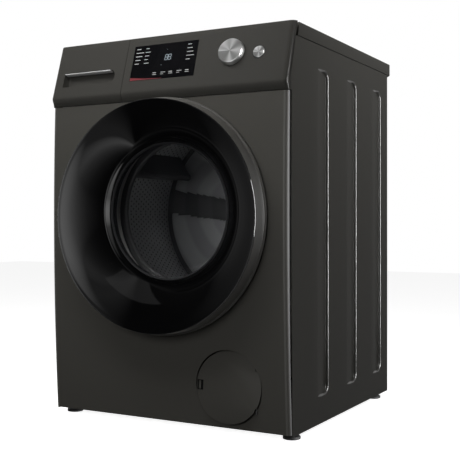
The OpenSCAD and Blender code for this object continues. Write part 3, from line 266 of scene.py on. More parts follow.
def plate_mesh(name, outline, low, high, edge=0.0):
    """A plate in a local XY plane from low to high in Z, its upper rim rounded by edge."""
    bm = bmesh.new()
    bm.faces.new([bm.verts.new((a, b, low)) for a, b in outline])
    bmesh.ops.recalc_face_normals(bm, faces=bm.faces)
    made = bmesh.ops.extrude_face_region(bm, geom=bm.faces[:])
    bmesh.ops.translate(bm, vec=(0, 0, high - low),
                        verts=[v for v in made["geom"] if isinstance(v, bmesh.types.BMVert)])
    bmesh.ops.recalc_face_normals(bm, faces=bm.faces)
    if edge:
        rims = [e for e in bm.edges
                if abs(e.verts[0].co.z - e.verts[1].co.z) < 1e-7 and e.verts[0].co.z > (low + high) / 2]
        bmesh.ops.bevel(bm, geom=rims, offset=edge, segments=2, affect="EDGES", profile=0.5)
    return settled(bm, bpy.data.meshes.new(name))


def box_mesh(name, low, high, edge=0.0):
    """A box between two corners, all its edges rounded by edge."""
    bm = bmesh.new()
    made = bmesh.ops.create_cube(bm, size=1.0)
    size = Vector(high) - Vector(low)
    centre = (Vector(high) + Vector(low)) / 2
    bmesh.ops.transform(bm, matrix=Matrix.Translation(centre) @ Matrix.Diagonal(size.to_4d()),
                        verts=made["verts"])
    if edge:
        bmesh.ops.bevel(bm, geom=bm.edges[:], offset=edge, segments=2, affect="EDGES", profile=0.5)
    return settled(bm, bpy.data.meshes.new(name))


def joined(name, meshes):
    """One mesh made of several."""
    bm = bmesh.new()
    for mesh in meshes:
        bm.from_mesh(mesh)
    return settled(bm, bpy.data.meshes.new(name))


def carved(mesh, cutters):
    """The mesh with each cutter mesh taken away from it."""
    base = bpy.data.objects.new("carved", mesh)
    bpy.context.scene.collection.objects.link(base)
    helpers = []
    for cutter in cutters:
        helper = bpy.data.objects.new("cutter", cutter)
        bpy.context.scene.collection.objects.link(helper)
        helpers.append(helper)
        step = base.modifiers.new("cut", "BOOLEAN")
        step.operation = "DIFFERENCE"
        step.solver = "EXACT"
        step.object = helper
    bpy.context.view_layer.update()
    result = bpy.data.meshes.new_from_object(base.evaluated_get(bpy.context.evaluated_depsgraph_get()))
    for thing in [base, *helpers]:
        bpy.data.objects.remove(thing)
    return result


def drill(name, x, z, radius, segments):
    """A rod along Y that cuts a round hole through the front sheet."""
    return from_points(name, *lofted([[at(a, y, b) for a, b in circle(x, z, radius, segments)]
                                      for y in (-0.03, 0.05)]))


def set_on(place, mesh):
    """The mesh moved from a local frame to its place."""
    mesh.transform(place)
    return mesh


# ---- Materials ----

def principled(name, color, roughness, metallic=0.0, specular=0.5):
    material = bpy.data.materials.new(name)
    material.use_nodes = True
    nodes = material.node_tree.nodes
    shader = nodes["Principled BSDF"]
    shader.inputs["Base Color"].default_value = (*color[:3], 1)
    shader.inputs["Roughness"].default_value = roughness
    shader.inputs["Metallic"].default_value = metallic
    shader.inputs["Specular IOR Level"].default_value = specular
    return material, nodes, material.node_tree.links, shader


def noise(nodes, links, scale, detail=2.0, stretch=None, rough=0.5):
    """Noise laid over the piece itself, stretched along its axes where asked."""
    place = nodes.new("ShaderNodeTexCoord")
    texture = nodes.new("ShaderNodeTexNoise")
    texture.inputs["Scale"].default_value = scale
    texture.inputs["Detail"].default_value = detail
    texture.inputs["Roughness"].default_value = rough
    if stretch:
        mapping = nodes.new("ShaderNodeMapping")
        mapping.inputs["Scale"].default_value = stretch
        links.new(place.outputs["Object"], mapping.inputs["Vector"])
        links.new(mapping.outputs["Vector"], texture.inputs["Vector"])
    else:
        links.new(place.outputs["Object"], texture.inputs["Vector"])
    return texture


def set_stops(ramp, stops):
    """Sets a colour ramp's stops, each a place and a colour, in rising order."""
    elements = ramp.color_ramp.elements
    while len(elements) < len(stops):
        elements.new(0.5)
    for element, (place, color) in zip(elements, stops):
        element.position = place
        element.color = (*color[:3], 1)


def vary_color(nodes, links, shader, texture, color, spread):
    """Lets the colour wander a little about its own value."""
    ramp = nodes.new("ShaderNodeValToRGB")
    set_stops(ramp, [(0.3, [c * (1 - spread) for c in color]), (0.7, [c * (1 + spread) for c in color])])
    links.new(texture.outputs["Fac"], ramp.inputs["Fac"])
    links.new(ramp.outputs["Color"], shader.inputs["Base Color"])


def vary_roughness(nodes, links, shader, texture, low, high):
    """Lets the roughness wander between two values."""
    spread = nodes.new("ShaderNodeMapRange")
    spread.inputs["To Min"].default_value = low
    spread.inputs["To Max"].default_value = high
    links.new(texture.outputs["Fac"], spread.inputs["Value"])
    links.new(spread.outputs["Result"], shader.inputs["Roughness"])


def reckon(nodes, links, operation, *terms):
    """Result of a Math node whose terms are numbers or links."""
    node = nodes.new("ShaderNodeMath")
    node.operation = operation
    for socket, term in zip(node.inputs, terms):
        if isinstance(term, float):
            socket.default_value = term
        else:
            links.new(term, socket)
    return node.outputs["Value"]


def add_bump(nodes, links, shader, texture, strength, distance):
    bump = nodes.new("ShaderNodeBump")
    bump.inputs["Strength"].default_value = strength
    bump.inputs["Distance"].default_value = distance
    links.new(texture.outputs["Fac"], bump.inputs["Height"])
    links.new(bump.outputs["Normal"], shader.inputs["Normal"])


def lacquer(name, color, roughness=0.18, coat=0.08):
    """Metallic lacquer with fine flakes under a thin clear coat."""
    material, nodes, links, shader = principled(name, color, 0.6, 0.0, 0.0)
    shader.inputs["Coat Weight"].default_value = coat
    shader.inputs["Coat Roughness"].default_value = roughness
    flakes = noise(nodes, links, 2600, 1.0)
    vary_color(nodes, links, shader, flakes, color, 0.10)
    vary_roughness(nodes, links, shader, noise(nodes, links, 9, 3.0), 0.55, 0.65)
    return material


def moulded(name, color, roughness=0.5, grain=900, strength=0.12, specular=0.4):
    """Moulded plastic with a fine grain."""
    material, nodes, links, shader = principled(name, color, roughness, 0.0, specular)
    texture = noise(nodes, links, grain, 2.0)
    vary_color(nodes, links, shader, texture, color, 0.06)
    add_bump(nodes, links, shader, texture, strength, 0.0002)
    return material


def polished_black(name, color, roughness=0.07, coat=1.0):
    """Black plastic or glass whose only gloss is its clear coat."""
    material, nodes, links, shader = principled(name, color, 0.5, 0.0, 0.0)
    shader.inputs["Coat Weight"].default_value = coat
    shader.inputs["Coat Roughness"].default_value = roughness
    vary_roughness(nodes, links, shader, noise(nodes, links, 40, 2.0), 0.45, 0.55)
    return material


def sheet_metal(name, color, roughness=0.35, stretch=(1, 1, 40), scale=30, metallic=1.0):
    """Rolled or brushed sheet: fine lines in one direction."""
    material, nodes, links, shader = principled(name, color, roughness, metallic)
    texture = noise(nodes, links, scale, 4.0, stretch)
    vary_color(nodes, links, shader, texture, color, 0.08)
    vary_roughness(nodes, links, shader, texture, roughness - 0.06, roughness + 0.08)
    add_bump(nodes, links, shader, texture, 0.06, 0.0002)
    return material


def spun_metal(name, color):
    """Metal brushed in circles, with bright streaks painted into its colour by the turn round the middle:
    painted highlights.
    """
    material, nodes, links, shader = principled(name, color, 0.34, 0.86)
    place = nodes.new("ShaderNodeTexCoord")
    spread = nodes.new("ShaderNodeTexGradient")
    spread.gradient_type = "RADIAL"
    links.new(place.outputs["UV"], spread.inputs["Vector"])
    ramp = nodes.new("ShaderNodeValToRGB")
    ramp.color_ramp.interpolation = "B_SPLINE"
    # Brightness of each painted highlight streak by its turn round the middle
    painted_highlights = ((0.00, 0.5), (0.12, 0.45), (0.20, 0.4), (0.27, 1.8), (0.33, 0.35), (0.42, 0.6), (0.50, 2.4),
            (0.56, 0.5), (0.64, 0.35), (0.71, 1.6), (0.78, 0.4), (0.88, 2.2), (0.94, 0.5), (1.00, 2.4))
    set_stops(ramp, [(turn, [min(1.0, c * share) for c in color]) for turn, share in painted_highlights])
    links.new(spread.outputs["Fac"], ramp.inputs["Fac"])
    links.new(ramp.outputs["Color"], shader.inputs["Base Color"])
    vary_roughness(nodes, links, shader, noise(nodes, links, 900, 3.0), 0.3, 0.4)
    return material


def ringed_steel(name, color):
    """Pressed steel with faint bright rings painted into its colour round the drum's axis: a painted circular
    sheen.
    """
    material, nodes, links, shader = principled(name, color, 0.4, 0.55)
    place, flat = nodes.new("ShaderNodeTexCoord"), nodes.new("ShaderNodeMapping")
    flat.inputs["Location"].default_value = (0, 0, -WINDOW_Z - FOOT)
    flat.inputs["Scale"].default_value = (1, 0, 1)
    rings = nodes.new("ShaderNodeTexWave")
    rings.wave_type, rings.rings_direction = "RINGS", "SPHERICAL"
    rings.inputs["Scale"].default_value = 4
    rings.inputs["Distortion"].default_value = 3
    rings.inputs["Detail"].default_value = 1
    links.new(place.outputs["Object"], flat.inputs["Vector"])
    links.new(flat.outputs["Vector"], rings.inputs["Vector"])
    vary_color(nodes, links, shader, rings, color, 0.12)
    vary_roughness(nodes, links, shader, noise(nodes, links, 30, 3.0), 0.28, 0.42)
    return material


def perforate(material):
    """Adds small round holes in staggered rows round the drum's wall, as dark spots of the colour."""
    nodes, links = material.node_tree.nodes, material.node_tree.links
    place, split = nodes.new("ShaderNodeTexCoord"), nodes.new("ShaderNodeSeparateXYZ")
    links.new(place.outputs["Object"], split.inputs["Vector"])

    def step(operation, *terms):
        return reckon(nodes, links, operation, *terms)

    pitch, row, reach = 0.0125, 0.87, 0.17
    x = split.outputs["X"]
    z = step("SUBTRACT", split.outputs["Z"], WINDOW_Z + FOOT)
    round_wall = step("MULTIPLY", step("ARCTAN2", z, x), DRUM_R / pitch)
    along = step("DIVIDE", split.outputs["Y"], pitch * row)
    stagger = step("MULTIPLY", step("FLOORED_MODULO", step("FLOOR", along), 2.0), 0.5)
    u = step("SUBTRACT", step("FRACT", step("ADD", round_wall, stagger)), 0.5)
    v = step("MULTIPLY", step("SUBTRACT", step("FRACT", along), 0.5), row)
    off_centre = step("SQRT", step("ADD", step("MULTIPLY", u, u), step("MULTIPLY", v, v)))
    hole = step("LESS_THAN", off_centre, reach)
    radius = step("SQRT", step("ADD", step("MULTIPLY", x, x), step("MULTIPLY", z, z)))
    on_wall = step("GREATER_THAN", radius, DRUM_R - 0.0016)
    mix = nodes.new("ShaderNodeMix")
    mix.data_type = "RGBA"
    ramp = next(node for node in nodes if node.type == "VALTORGB")
    links.new(step("MULTIPLY", hole, on_wall), mix.inputs["Factor"])
    links.new(ramp.outputs["Color"], mix.inputs["A"])
    mix.inputs["B"].default_value = (0.004, 0.004, 0.004, 1)
    links.new(mix.outputs["Result"], nodes["Principled BSDF"].inputs["Base Color"])


def rubber(name, color):
    material, nodes, links, shader = principled(name, color, 0.62, 0.0, 0.3)
    texture = noise(nodes, links, 500, 3.0)
    vary_color(nodes, links, shader, texture, color, 0.1)
    add_bump(nodes, links, shader, texture, 0.15, 0.0003)
    return material


def concrete(name, color):
    material, nodes, links, shader = principled(name, color, 0.9, 0.0, 0.2)
    texture = noise(nodes, links, 160, 8.0, rough=0.7)
    vary_color(nodes, links, shader, texture, color, 0.3)
    add_bump(nodes, links, shader, texture, 0.5, 0.002)
    return material


def clear_glass(name, color, alpha):
    """Tinted glass, seen through by its alpha."""
    material, nodes, links, shader = principled(name, color, 0.03, 0.0, 0.12)
    shader.inputs["Alpha"].default_value = alpha
    vary_roughness(nodes, links, shader, noise(nodes, links, 12, 2.0), 0.02, 0.05)
    return material


def glowing(name, color, strength):
    """Lit figures on a nearly black ground."""
    material, nodes, links, shader = principled(name, [c * 0.05 for c in color], 0.4)
    shader.inputs["Emission Color"].default_value = (*color[:3], 1)
    shader.inputs["Emission Strength"].default_value = strength
    vary_roughness(nodes, links, shader, noise(nodes, links, 300, 1.0), 0.35, 0.45)
    return material


MATERIALS = {}


def make_materials():
    look = washer().finishes
    MATERIALS.update({
        "paint": lacquer("mocha lacquer", look.cabinet),
        "paint_edge": lacquer("mocha lacquer on pressed edges", look.cabinet, 0.25, 0.6),
        "paint_corner": lacquer("mocha lacquer on rolled corners", look.cabinet, 0.38, 0.6),
        "fascia": lacquer("mocha fascia lacquer", look.fascia, 0.2),
        "black": polished_black("polished black plastic", look.door),
        "panel_glass": polished_black("black display glass", (0.003, 0.003, 0.0035), 0.06, 0.15),
        "glass": clear_glass("door glass", (0.004, 0.004, 0.005), 0.2),
        "ring": moulded("grey window ring", (0.018, 0.018, 0.019), 0.4, 600, 0.05, 0.05),
        # Painted reflection: the door's side is coloured pale grey-beige to stand for the bright surroundings
        # mirrored in its glossy black
        "door_side_painted_reflection": moulded("grey door side", (0.062, 0.060, 0.055), 0.4, 700, 0.05, 0.2),
        "drum": sheet_metal("stainless drum", look.drum, 0.34, metallic=0.2),
        "lobe": ringed_steel("polished drum lobes", [c * 0.92 for c in look.drum]),
        # Painted shade: a copy of the drum steel darkened to a quarter, for the drum's back between the lobes
        # and for its rolled mouth
        "valley": ringed_steel("dull drum back", [c * 0.24 for c in look.drum]),
        "zinc": sheet_metal("zinc coated sheet", (0.36, 0.37, 0.38), 0.45, (1, 1, 1), 60),
        "steel": sheet_metal("plated steel", (0.55, 0.56, 0.57), 0.3),
        "cast": moulded("cast aluminium", (0.42, 0.43, 0.44), 0.5, 250, 0.4),
        "chrome": sheet_metal("chrome strip", (0.80, 0.80, 0.80), 0.16, (40, 1, 1), 20, 0.6),
        # The knob and button carry painted highlight streaks in their colour
        "knob": spun_metal("brushed knob metal", look.knob),
        "lifter": moulded("dark lifter plastic", (0.09, 0.09, 0.093), 0.45),
        "dark": moulded("black moulded plastic", (0.012, 0.012, 0.012), 0.55),
        "grey": moulded("grey moulded plastic", (0.10, 0.10, 0.10), 0.5),
        "white": moulded("white moulded plastic", (0.60, 0.60, 0.58), 0.45),
        "blue": moulded("blue moulded plastic", (0.03, 0.10, 0.34), 0.4),
        "board": moulded("circuit board", (0.03, 0.12, 0.05), 0.4),
        "bellows": rubber("grey bellows rubber", (0.014, 0.015, 0.016)),
        "hose": rubber("black hose rubber", (0.015, 0.015, 0.015)),
        "concrete": concrete("cast concrete", (0.30, 0.30, 0.28)),
        "glow": glowing("display glow", (0.75, 0.9, 1.0), 0.25),
        "mark": moulded("pale printed marks", (0.36, 0.36, 0.36), 0.5),
        "stripe": moulded("red stripe", (0.13, 0.012, 0.018), 0.4),
    })
    perforate(MATERIALS["drum"])


CAD_LOOKS = {
    "zinc": ["rear_panel", "rear_cover", "front_rail", "hinge_bracket"],
    "dark": ["base_tray", "transit_caps", "cord_gland", "damper_cylinders"],
    "grey": ["dispenser_housing", "drawer_tray", "door_inner_frame"],
    "white": ["inlet_valve", "door_lock", "filter_housing", "filter_cap", "tub_front", "tub_rear"],
    "blue": ["siphon_cap"],
    "board": ["control_board"],
    "bellows": ["door_gasket"],
    "hose": ["inlet_hose", "drain_pipe", "drive_belt", "sump_hose", "fill_hose"],
    "concrete": ["counterweight_front", "counterweight_top"],
    "steel": ["panel_screws", "heater", "drum_bearings", "damper_rods", "suspension_springs",
              "door_hinge_arm", "door_hook", "motor_pulley"],
    "cast": ["drum_spider", "drum_pulley", "motor", "drain_pump"],
    "lifter": ["drum_lifters"],
    "drum": ["drum_shell"],
}


def dress_frame():
    """Gives the frame's own nodes their materials."""
    for look, names in CAD_LOOKS.items():
        for name in names:
            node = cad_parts[name]
            node.data.materials.clear()
            node.data.materials.append(MATERIALS[look])


# ---- Cabinet ----

def bow(z):
    """Depth of the bowed front behind its foremost line."""
    size = washer().sizes
    return size.bow_radius - math.sqrt(size.bow_radius ** 2 - (z - size.bow_height) ** 2)


def side_edge_y(z):
    """Depth of a side panel's front edge, which is bowed less than the front sheet."""
    foremost, radius = 0.017, 17.1
    return foremost + (z - washer().sizes.bow_height) ** 2 / (2 * radius)


def stations(low, high, count):
    """Evenly spaced values from low to high, both included."""
    return [low + (high - low) * i / count for i in range(count + 1)]


def front_sheet_mesh():
    """The bowed front sheet with rounded upright corners."""
    r, fold = washer().sizes.corner_radius, 0.0065
    sweep = math.degrees(math.acos(1 - fold / r))

    def section(inset):
        right = arc(HALF_W - r, r, r - inset, -90, sweep - 90, 8)
        left = [(-x, y) for x, y in reversed(right)]
        flat = [(x, inset) for x in stations(r - HALF_W, HALF_W - r, 16)[1:-1]]
        return left + flat + right

    loop = section(0.0) + section(SHEET)[::-1]
    return from_points("front_sheet", *lofted([[at(x, bow(z) + y, z) for x, y in loop]
                                               for z in stations(PANEL_FOOT, SEAM, 48)]))


def rib_depth(y, z):
    """How far the side panel is pressed in at a point."""
    size = washer().sizes
    low, high, corner, edge = 0.058, LID_Z - 0.049, 0.020, 0.0045
    if not low < z < high:
        return 0.0
    for wall in RIB_WALLS:
        if wall - size.rib_run < y < wall:
            ramp = (y - (wall - size.rib_run)) / size.rib_run
            gap = min(wall - y, z - low, high - z)
            dy, dz = corner - (wall - y), corner - min(z - low, high - z)
            if dy > 0 and dz > 0:
                gap = corner - math.hypot(dy, dz)
            if gap <= 0:
                return 0.0
            blend = min(1.0, gap / edge)
            return size.rib_depth * ramp * blend * blend * (3 - 2 * blend)
    return 0.0


def rib_slope(y, z):
    """How steeply the side panel is pressed at a point."""
    step = 0.001
    return math.hypot(rib_depth(y + step, z) - rib_depth(y - step, z),
                      rib_depth(y, z + step) - rib_depth(y, z - step)) / (2 * step)


def panel_edge(z):
    """Front edge of a side panel: bowed beside the front panel, then along the fascia's end."""
    bend = LIP_Z + 0.016
    behind = 0.0125 / math.cos(LEAN) - LIP_OUT
    if z <= SEAM:
        return side_edge_y(z)
    if z < bend:
        share = (z - SEAM) / (bend - SEAM)
        return side_edge_y(SEAM) * (1 - share) + ((bend - LIP_Z) * math.tan(LEAN) + behind) * share
    return (z - LIP_Z) * math.tan(LEAN) + behind


def side_panel_mesh(side):
    """A side panel with its pressed ribs, cut at the front along the edge of its neighbours."""
    size = washer().sizes
    ys = set(stations(0.002, 0.12, 8)) | {0.24, 0.27, 0.30, 0.41, 0.44, 0.47, 0.575, 0.59, DEPTH}
    for wall in RIB_WALLS:
        bend = wall - 0.024
        ys |= set(stations(wall - size.rib_run, bend, 8)) | set(stations(bend, wall + 0.001, 22))
    zs = set(stations(0.0, 0.05, 4)) | set(stations(0.057, 0.084, 24)) | set(stations(0.1, LID_Z - 0.1, 30))
    zs |= set(stations(LID_Z - 0.075, LID_Z - 0.048, 24)) | {LID_Z - 0.03, LID_Z}
    start, fade = min(ys), 0.118
    sections = []
    for z in sorted(zs):
        shift = panel_edge(z) - start
        row = [y + shift * max(0.0, 1 - (y - start) / fade) for y in sorted(ys)]
        outer = [at(side * (HALF_W - rib_depth(y, z)), y, z) for y in row]
        inner = [at(side * (HALF_W - rib_depth(y, z) - SHEET), y, z) for y in reversed(row)]
        sections.append(outer + inner)
    return from_points("side", *lofted(sections))


def refinish(piece, look, chosen):
    """Gives the chosen faces of a piece another finish."""
    piece.data.materials.append(MATERIALS[look])
    for face in piece.data.polygons:
        if chosen(*(face.center - at(0, 0, 0))):
            face.material_index = len(piece.data.materials) - 1


class WASHER_OT_cabinet(Operator):
    """Front sheet, side panels and the dark strips of painted shade between them"""

    bl_idname = "washer.cabinet"
    bl_label = "Cabinet panels"

    def execute(self, context):
        self.front()
        for side, name in ((1, "right"), (-1, "left")):
            self.side(side, name)
            self.shadow_strip(side, name)
        return {"FINISHED"}

    def front(self):
        """Front sheet with its holes for the drum, filter flap, door hinge and door hook."""
        mouth, flap = 0.178, FILTER_R + FLAP_GAP
        cutters = [drill("door_hole", 0, WINDOW_Z, mouth, 144),
                   drill("filter_hole", FILTER_X, FILTER_Z, flap, 128)]
        leaf, apart, tall = lowest("door_hinge_arm", "x"), 0.0335, 0.013
        for turn in (-1, 1):
            z = middle("hinge_bracket", "z") + turn * apart
            cutters.append(box_mesh("hinge_slot", (leaf + 0.002, FRONT - 0.01, z - tall),
                                    (leaf + 0.010, FRONT + 0.02, z + tall)))
        hook, wide, tall = middle("door_hook", "x") + 0.001, 0.012, 0.016
        cutters.append(box_mesh("lock_slot", at(hook - wide, -0.01, WINDOW_Z - tall),
                                at(hook + wide, 0.02, WINDOW_Z + tall)))
        collar = [(mouth, 0.0008), (mouth, 0.024), (mouth + SHEET, 0.024), (mouth + SHEET, 0.0008)]
        seat = [(flap, 0.0165), (flap, 0.028), (0.04, 0.028), (0.04, 0.0265), (flap + 0.0005, 0.0265),
                (flap + SHEET, 0.0265), (flap + SHEET, 0.0165)]
        wall = []
        for a in around(96):
            rim, deep, outer = bow(FILTER_Z + flap * math.sin(a)) + 0.0006, 0.017, flap + SHEET
            wall.append([at(FILTER_X + r * math.cos(a), y, FILTER_Z + r * math.sin(a))
                         for r, y in ((flap, rim), (flap, deep), (outer, deep), (outer, rim))])
        whole = joined("front_sheet", [carved(front_sheet_mesh(), cutters),
                                       from_points("collar", *turned(collar, 0, WINDOW_Z)),
                                       from_points("seat", *turned(seat, FILTER_X, FILTER_Z)),
                                       from_points("filter_wall", *round_skin(wall))])
        sheet = dress("front_sheet", whole, "paint", "cabinet", ["front_panel"])
        corner, roll, fold = HALF_W - 0.0105, 0.0036, 0.012
        refinish(sheet, "paint_corner", lambda x, y, z: abs(x) > corner and y - bow(z) < roll)
        # Painted shade: the rear of each rolled corner takes the black hose rubber, standing for the dark gap
        # beside the side panel
        refinish(sheet, "hose", lambda x, y, z: abs(x) > corner and roll <= y - bow(z) < fold)

    def side(self, side, name):
        sheet = dress("side_sheet_" + name, side_panel_mesh(side), "paint", "cabinet",
                      ["side_panel_" + name], 60)
        shallow = 0.45 * washer().sizes.rib_depth
        refinish(sheet, "paint_edge", lambda x, y, z: rib_slope(y, z) > 0.2 and rib_depth(y, z) < shallow)

    def shadow_strip(self, side, name):
        """Dark strip set back between the front sheet's fold and the side panel: painted shade for the gap
        between them.
        """
        outer, inner = HALF_W - 0.0032, HALF_W - 0.0045
        sections = []
        for z in stations(PANEL_FOOT + 0.001, SEAM - 0.001, 40):
            low, high = bow(z) + 0.0068, side_edge_y(z) - 0.0003
            sections.append([at(side * x, y, z)
                             for x, y in ((outer, low), (outer, high), (inner, high), (inner, low))])
        name = "corner_seal_" + name
        dress(name, from_points(name, *lofted(sections)), "hose", "cabinet")


class WASHER_OT_lid(Operator):
    """Lid with its rounded rear corners"""

    bl_idname = "washer.lid"
    bl_label = "Lid"

    def execute(self, context):
        corner, edge, joint = 0.012, 0.0016, 0.0016

        def section(z, inset):
            """Outline of the lid at a height, drawn in by inset."""
            front = LID_FRONT - (TOP - z) * math.tan(LEAN) + inset * 0.3
            w, back, r = HALF_W - inset, LID_BACK - inset, max(corner - inset, 0.001)
            loop = [(-w, front), (w, front)]
            loop += arc(w - r, back - r, r, 0, 90, 8) + arc(-w + r, back - r, r, 90, 180, 8)
            return [at(x, y, z) for x, y in loop]

        sections = [section(LID_Z + rise, inset)
                    for rise, inset in ((0.0003, joint), (0.0020, joint), (0.0024, 0.0002), (0.0034, 0))]
        sections += [section(TOP + z, inset) for inset, z in arc(edge, -edge, edge, 180, 90, 6)]
        wall, front = 0.003, LID_FRONT - (TOP - LID_Z) * math.tan(LEAN) + 0.02
        hollow = box_mesh("hollow", at(wall - HALF_W, front, LID_Z - 0.01),
                          at(HALF_W - wall, LID_BACK - wall, LID_Z + 0.012))
        mesh = carved(from_points("lid", *lofted(sections)), [hollow])
        dress("lid", mesh, "paint", "cabinet", ["top_panel"])
        return {"FINISHED"}


# ---- Fascia ----

def fascia_loop(x):
    """Side outline of the fascia at x: rounded ends draw the face back towards the panel."""
    size = washer().sizes
    from_end = HALF_W - abs(x)
    r = size.end_radius
    back = r - math.sqrt(max(0.0, r * r - (r - from_end) ** 2)) if from_end < r else 0.0
    face = back - LIP_OUT
    slant = (TOP - LIP_Z) / math.cos(LEAN)
    s, c = math.sin(LEAN), math.cos(LEAN)
    lower = [(0.003 + back * 0.4, SEAM + 0.001), (face + 0.0042, SEAM + 0.008),
             (face + 0.0012, SEAM + 0.014)]
    lip = [(face + 0.0002, LIP_Z - size.lip_radius), (face + 0.0001, LIP_Z)]
    up = [(face + t * slant * s, LIP_Z + t * slant * c) for t in (0.04, 0.3, 0.6, 0.9, 0.985)]
    return lower + lip + up + [(face + slant * s + 0.0012, TOP)]


def fascia_body(name, low, high, round_low, round_high):
    """Skin of the fascia between two x values, each of its ends rounded or straight."""
    r = washer().sizes.end_radius
    curve = [r * (1 - math.cos(math.radians(a))) for a in range(0, 91, 9)]
    straight = [0.0, 0.0012]
    xs = [low + x for x in (curve if round_low else straight)]
    ends = [high - x for x in reversed(curve if round_high else straight)]
    xs += stations(xs[-1], ends[0], 12)[1:-1] + ends
    thick, corner = 0.003 / math.cos(LEAN), 0.0125
    sections = []
    for x in xs:
        loop = fascia_loop(x)
        beside_panel = HALF_W - abs(x) < corner
        inner = [(max(y + thick, panel_edge(z) - 0.0005) if beside_panel else y + thick, z)
                 for y, z in reversed(loop)]
        sections.append([at(x, y, z) for y, z in loop + inner])
    return from_points(name, *lofted(sections))


class WASHER_OT_fascia(Operator):
    """Sloped control fascia and the drawer's front with its grip"""

    bl_idname = "washer.fascia"
    bl_label = "Fascia"

    def execute(self, context):
        slope = slope_matrix()
        self.controls(slope)
        self.drawer(slope)
        return {"FINISHED"}

    def controls(self, slope):
        """Right-hand part with its openings for the display, the knob and the button."""
        openings = [rounded_box(DISPLAY_LEFT, DISPLAY_BOTTOM, DISPLAY_RIGHT, DISPLAY_TOP, 0.0008),
                    circle(KNOB_X, KNOB_RISE, 0.006, 72), circle(BUTTON_X, BUTTON_RISE, 0.01305, 72)]
        holes = [set_on(slope, plate_mesh("hole", opening, -0.02, 0.02)) for opening in openings]
        body = carved(fascia_body("fascia", DRAWER_RIGHT + 0.001, HALF_W, False, True), holes)
        dress("fascia", body, "fascia", "cabinet", ["control_fascia"], 28)

    def drawer(self, slope):
        """Drawer front with its scooped grip and the bright strip along the grip's upper edge."""
        size = washer().sizes
        left = lowest("drawer_handle", "x") - 0.002
        right, low = left + size.grip_width, 0.026
        high, tight, wide = low + size.grip_height, 0.003, 0.0168
        grip = filleted([(left, low, tight), (right, low, wide), (right, high, wide), (left, high, tight)],
                        10)
        cut = set_on(slope, plate_mesh("grip_cut", grip, -0.02, 0.02))
        body = carved(fascia_body("drawer", -HALF_W, DRAWER_RIGHT, True, False), [cut])
        x, y = (left + right) / 2, (low + high) / 2

        def ring(level, inset):
            """The grip's outline drawn in by inset, at a level over the slope."""
            across, up = 1 - inset / (x - left), 1 - inset / (y - low)
            return [slope @ Vector((x + (a - x) * across, y + (b - y) * up, level)) for a, b in grip]

        floor = -size.grip_depth
        outside = ((floor - 0.0015, 0.006), (floor + 0.001, 0.0), (-0.0022, -0.0022), (-0.0022, -0.0006))
        inside = ((0.0, -0.0006), (-0.0008, 0.0), (floor + 0.006, 0.0012), (floor + 0.002, 0.003),
                  (floor, 0.007))
        pocket = from_points("pocket", *lofted([ring(level, inset) for level, inset in outside + inside]))
        dress("drawer_face", joined("drawer_face", [body, pocket]), "fascia", "drawer",
              ["drawer_front"], 28)
        strip = plate_mesh("strip", [(left + 0.0006, high - 0.0026), (right - 0.012, high - 0.0026),
                                     (right - 0.016, high - 0.0004), (left + 0.0006, high - 0.0004)],
                           -0.010, 0.0006, 0.0004)
        dress("grip_strip", set_on(slope, strip), "chrome", "drawer", ["drawer_handle"])


# ---- Display ----

def eight_mesh(x, y, height):
    """A figure eight of seven strokes whose lower left corner is (x, y), leaning a little."""
    wide, bar, half, lean = height * 0.52, height * 0.13, height / 2, 0.12
    strokes = [((bar * 0.6, level), (wide - bar * 0.6, level)) for level in (height, half, 0)]
    strokes += [((edge, low + bar * 0.5), (edge, high - bar * 0.5))
                for edge in (0, wide) for low, high in ((0, half), (half, height))]
    parts = []
    for start, end in strokes:
        a, b = Vector(start), Vector(end)
        along = (b - a).normalized() * bar * 0.5
        side = Vector((-along.y, along.x)) * 0.9
        loop = [a - along, a + side, b + side, b + along, b - side, a - side]
        leaning = [(x + p.x + lean * p.y, y + p.y) for p in loop]
        parts.append(plate_mesh("stroke", leaning, 0.00005, 0.00035))
    return joined("eight", parts)


def bar_mesh(x, y, wide, high):
    """A short printed bar whose lower left corner is (x, y)."""
    return plate_mesh("bar", rounded_box(x, y, x + wide, y + high, high * 0.4), 0.00005, 0.0003)


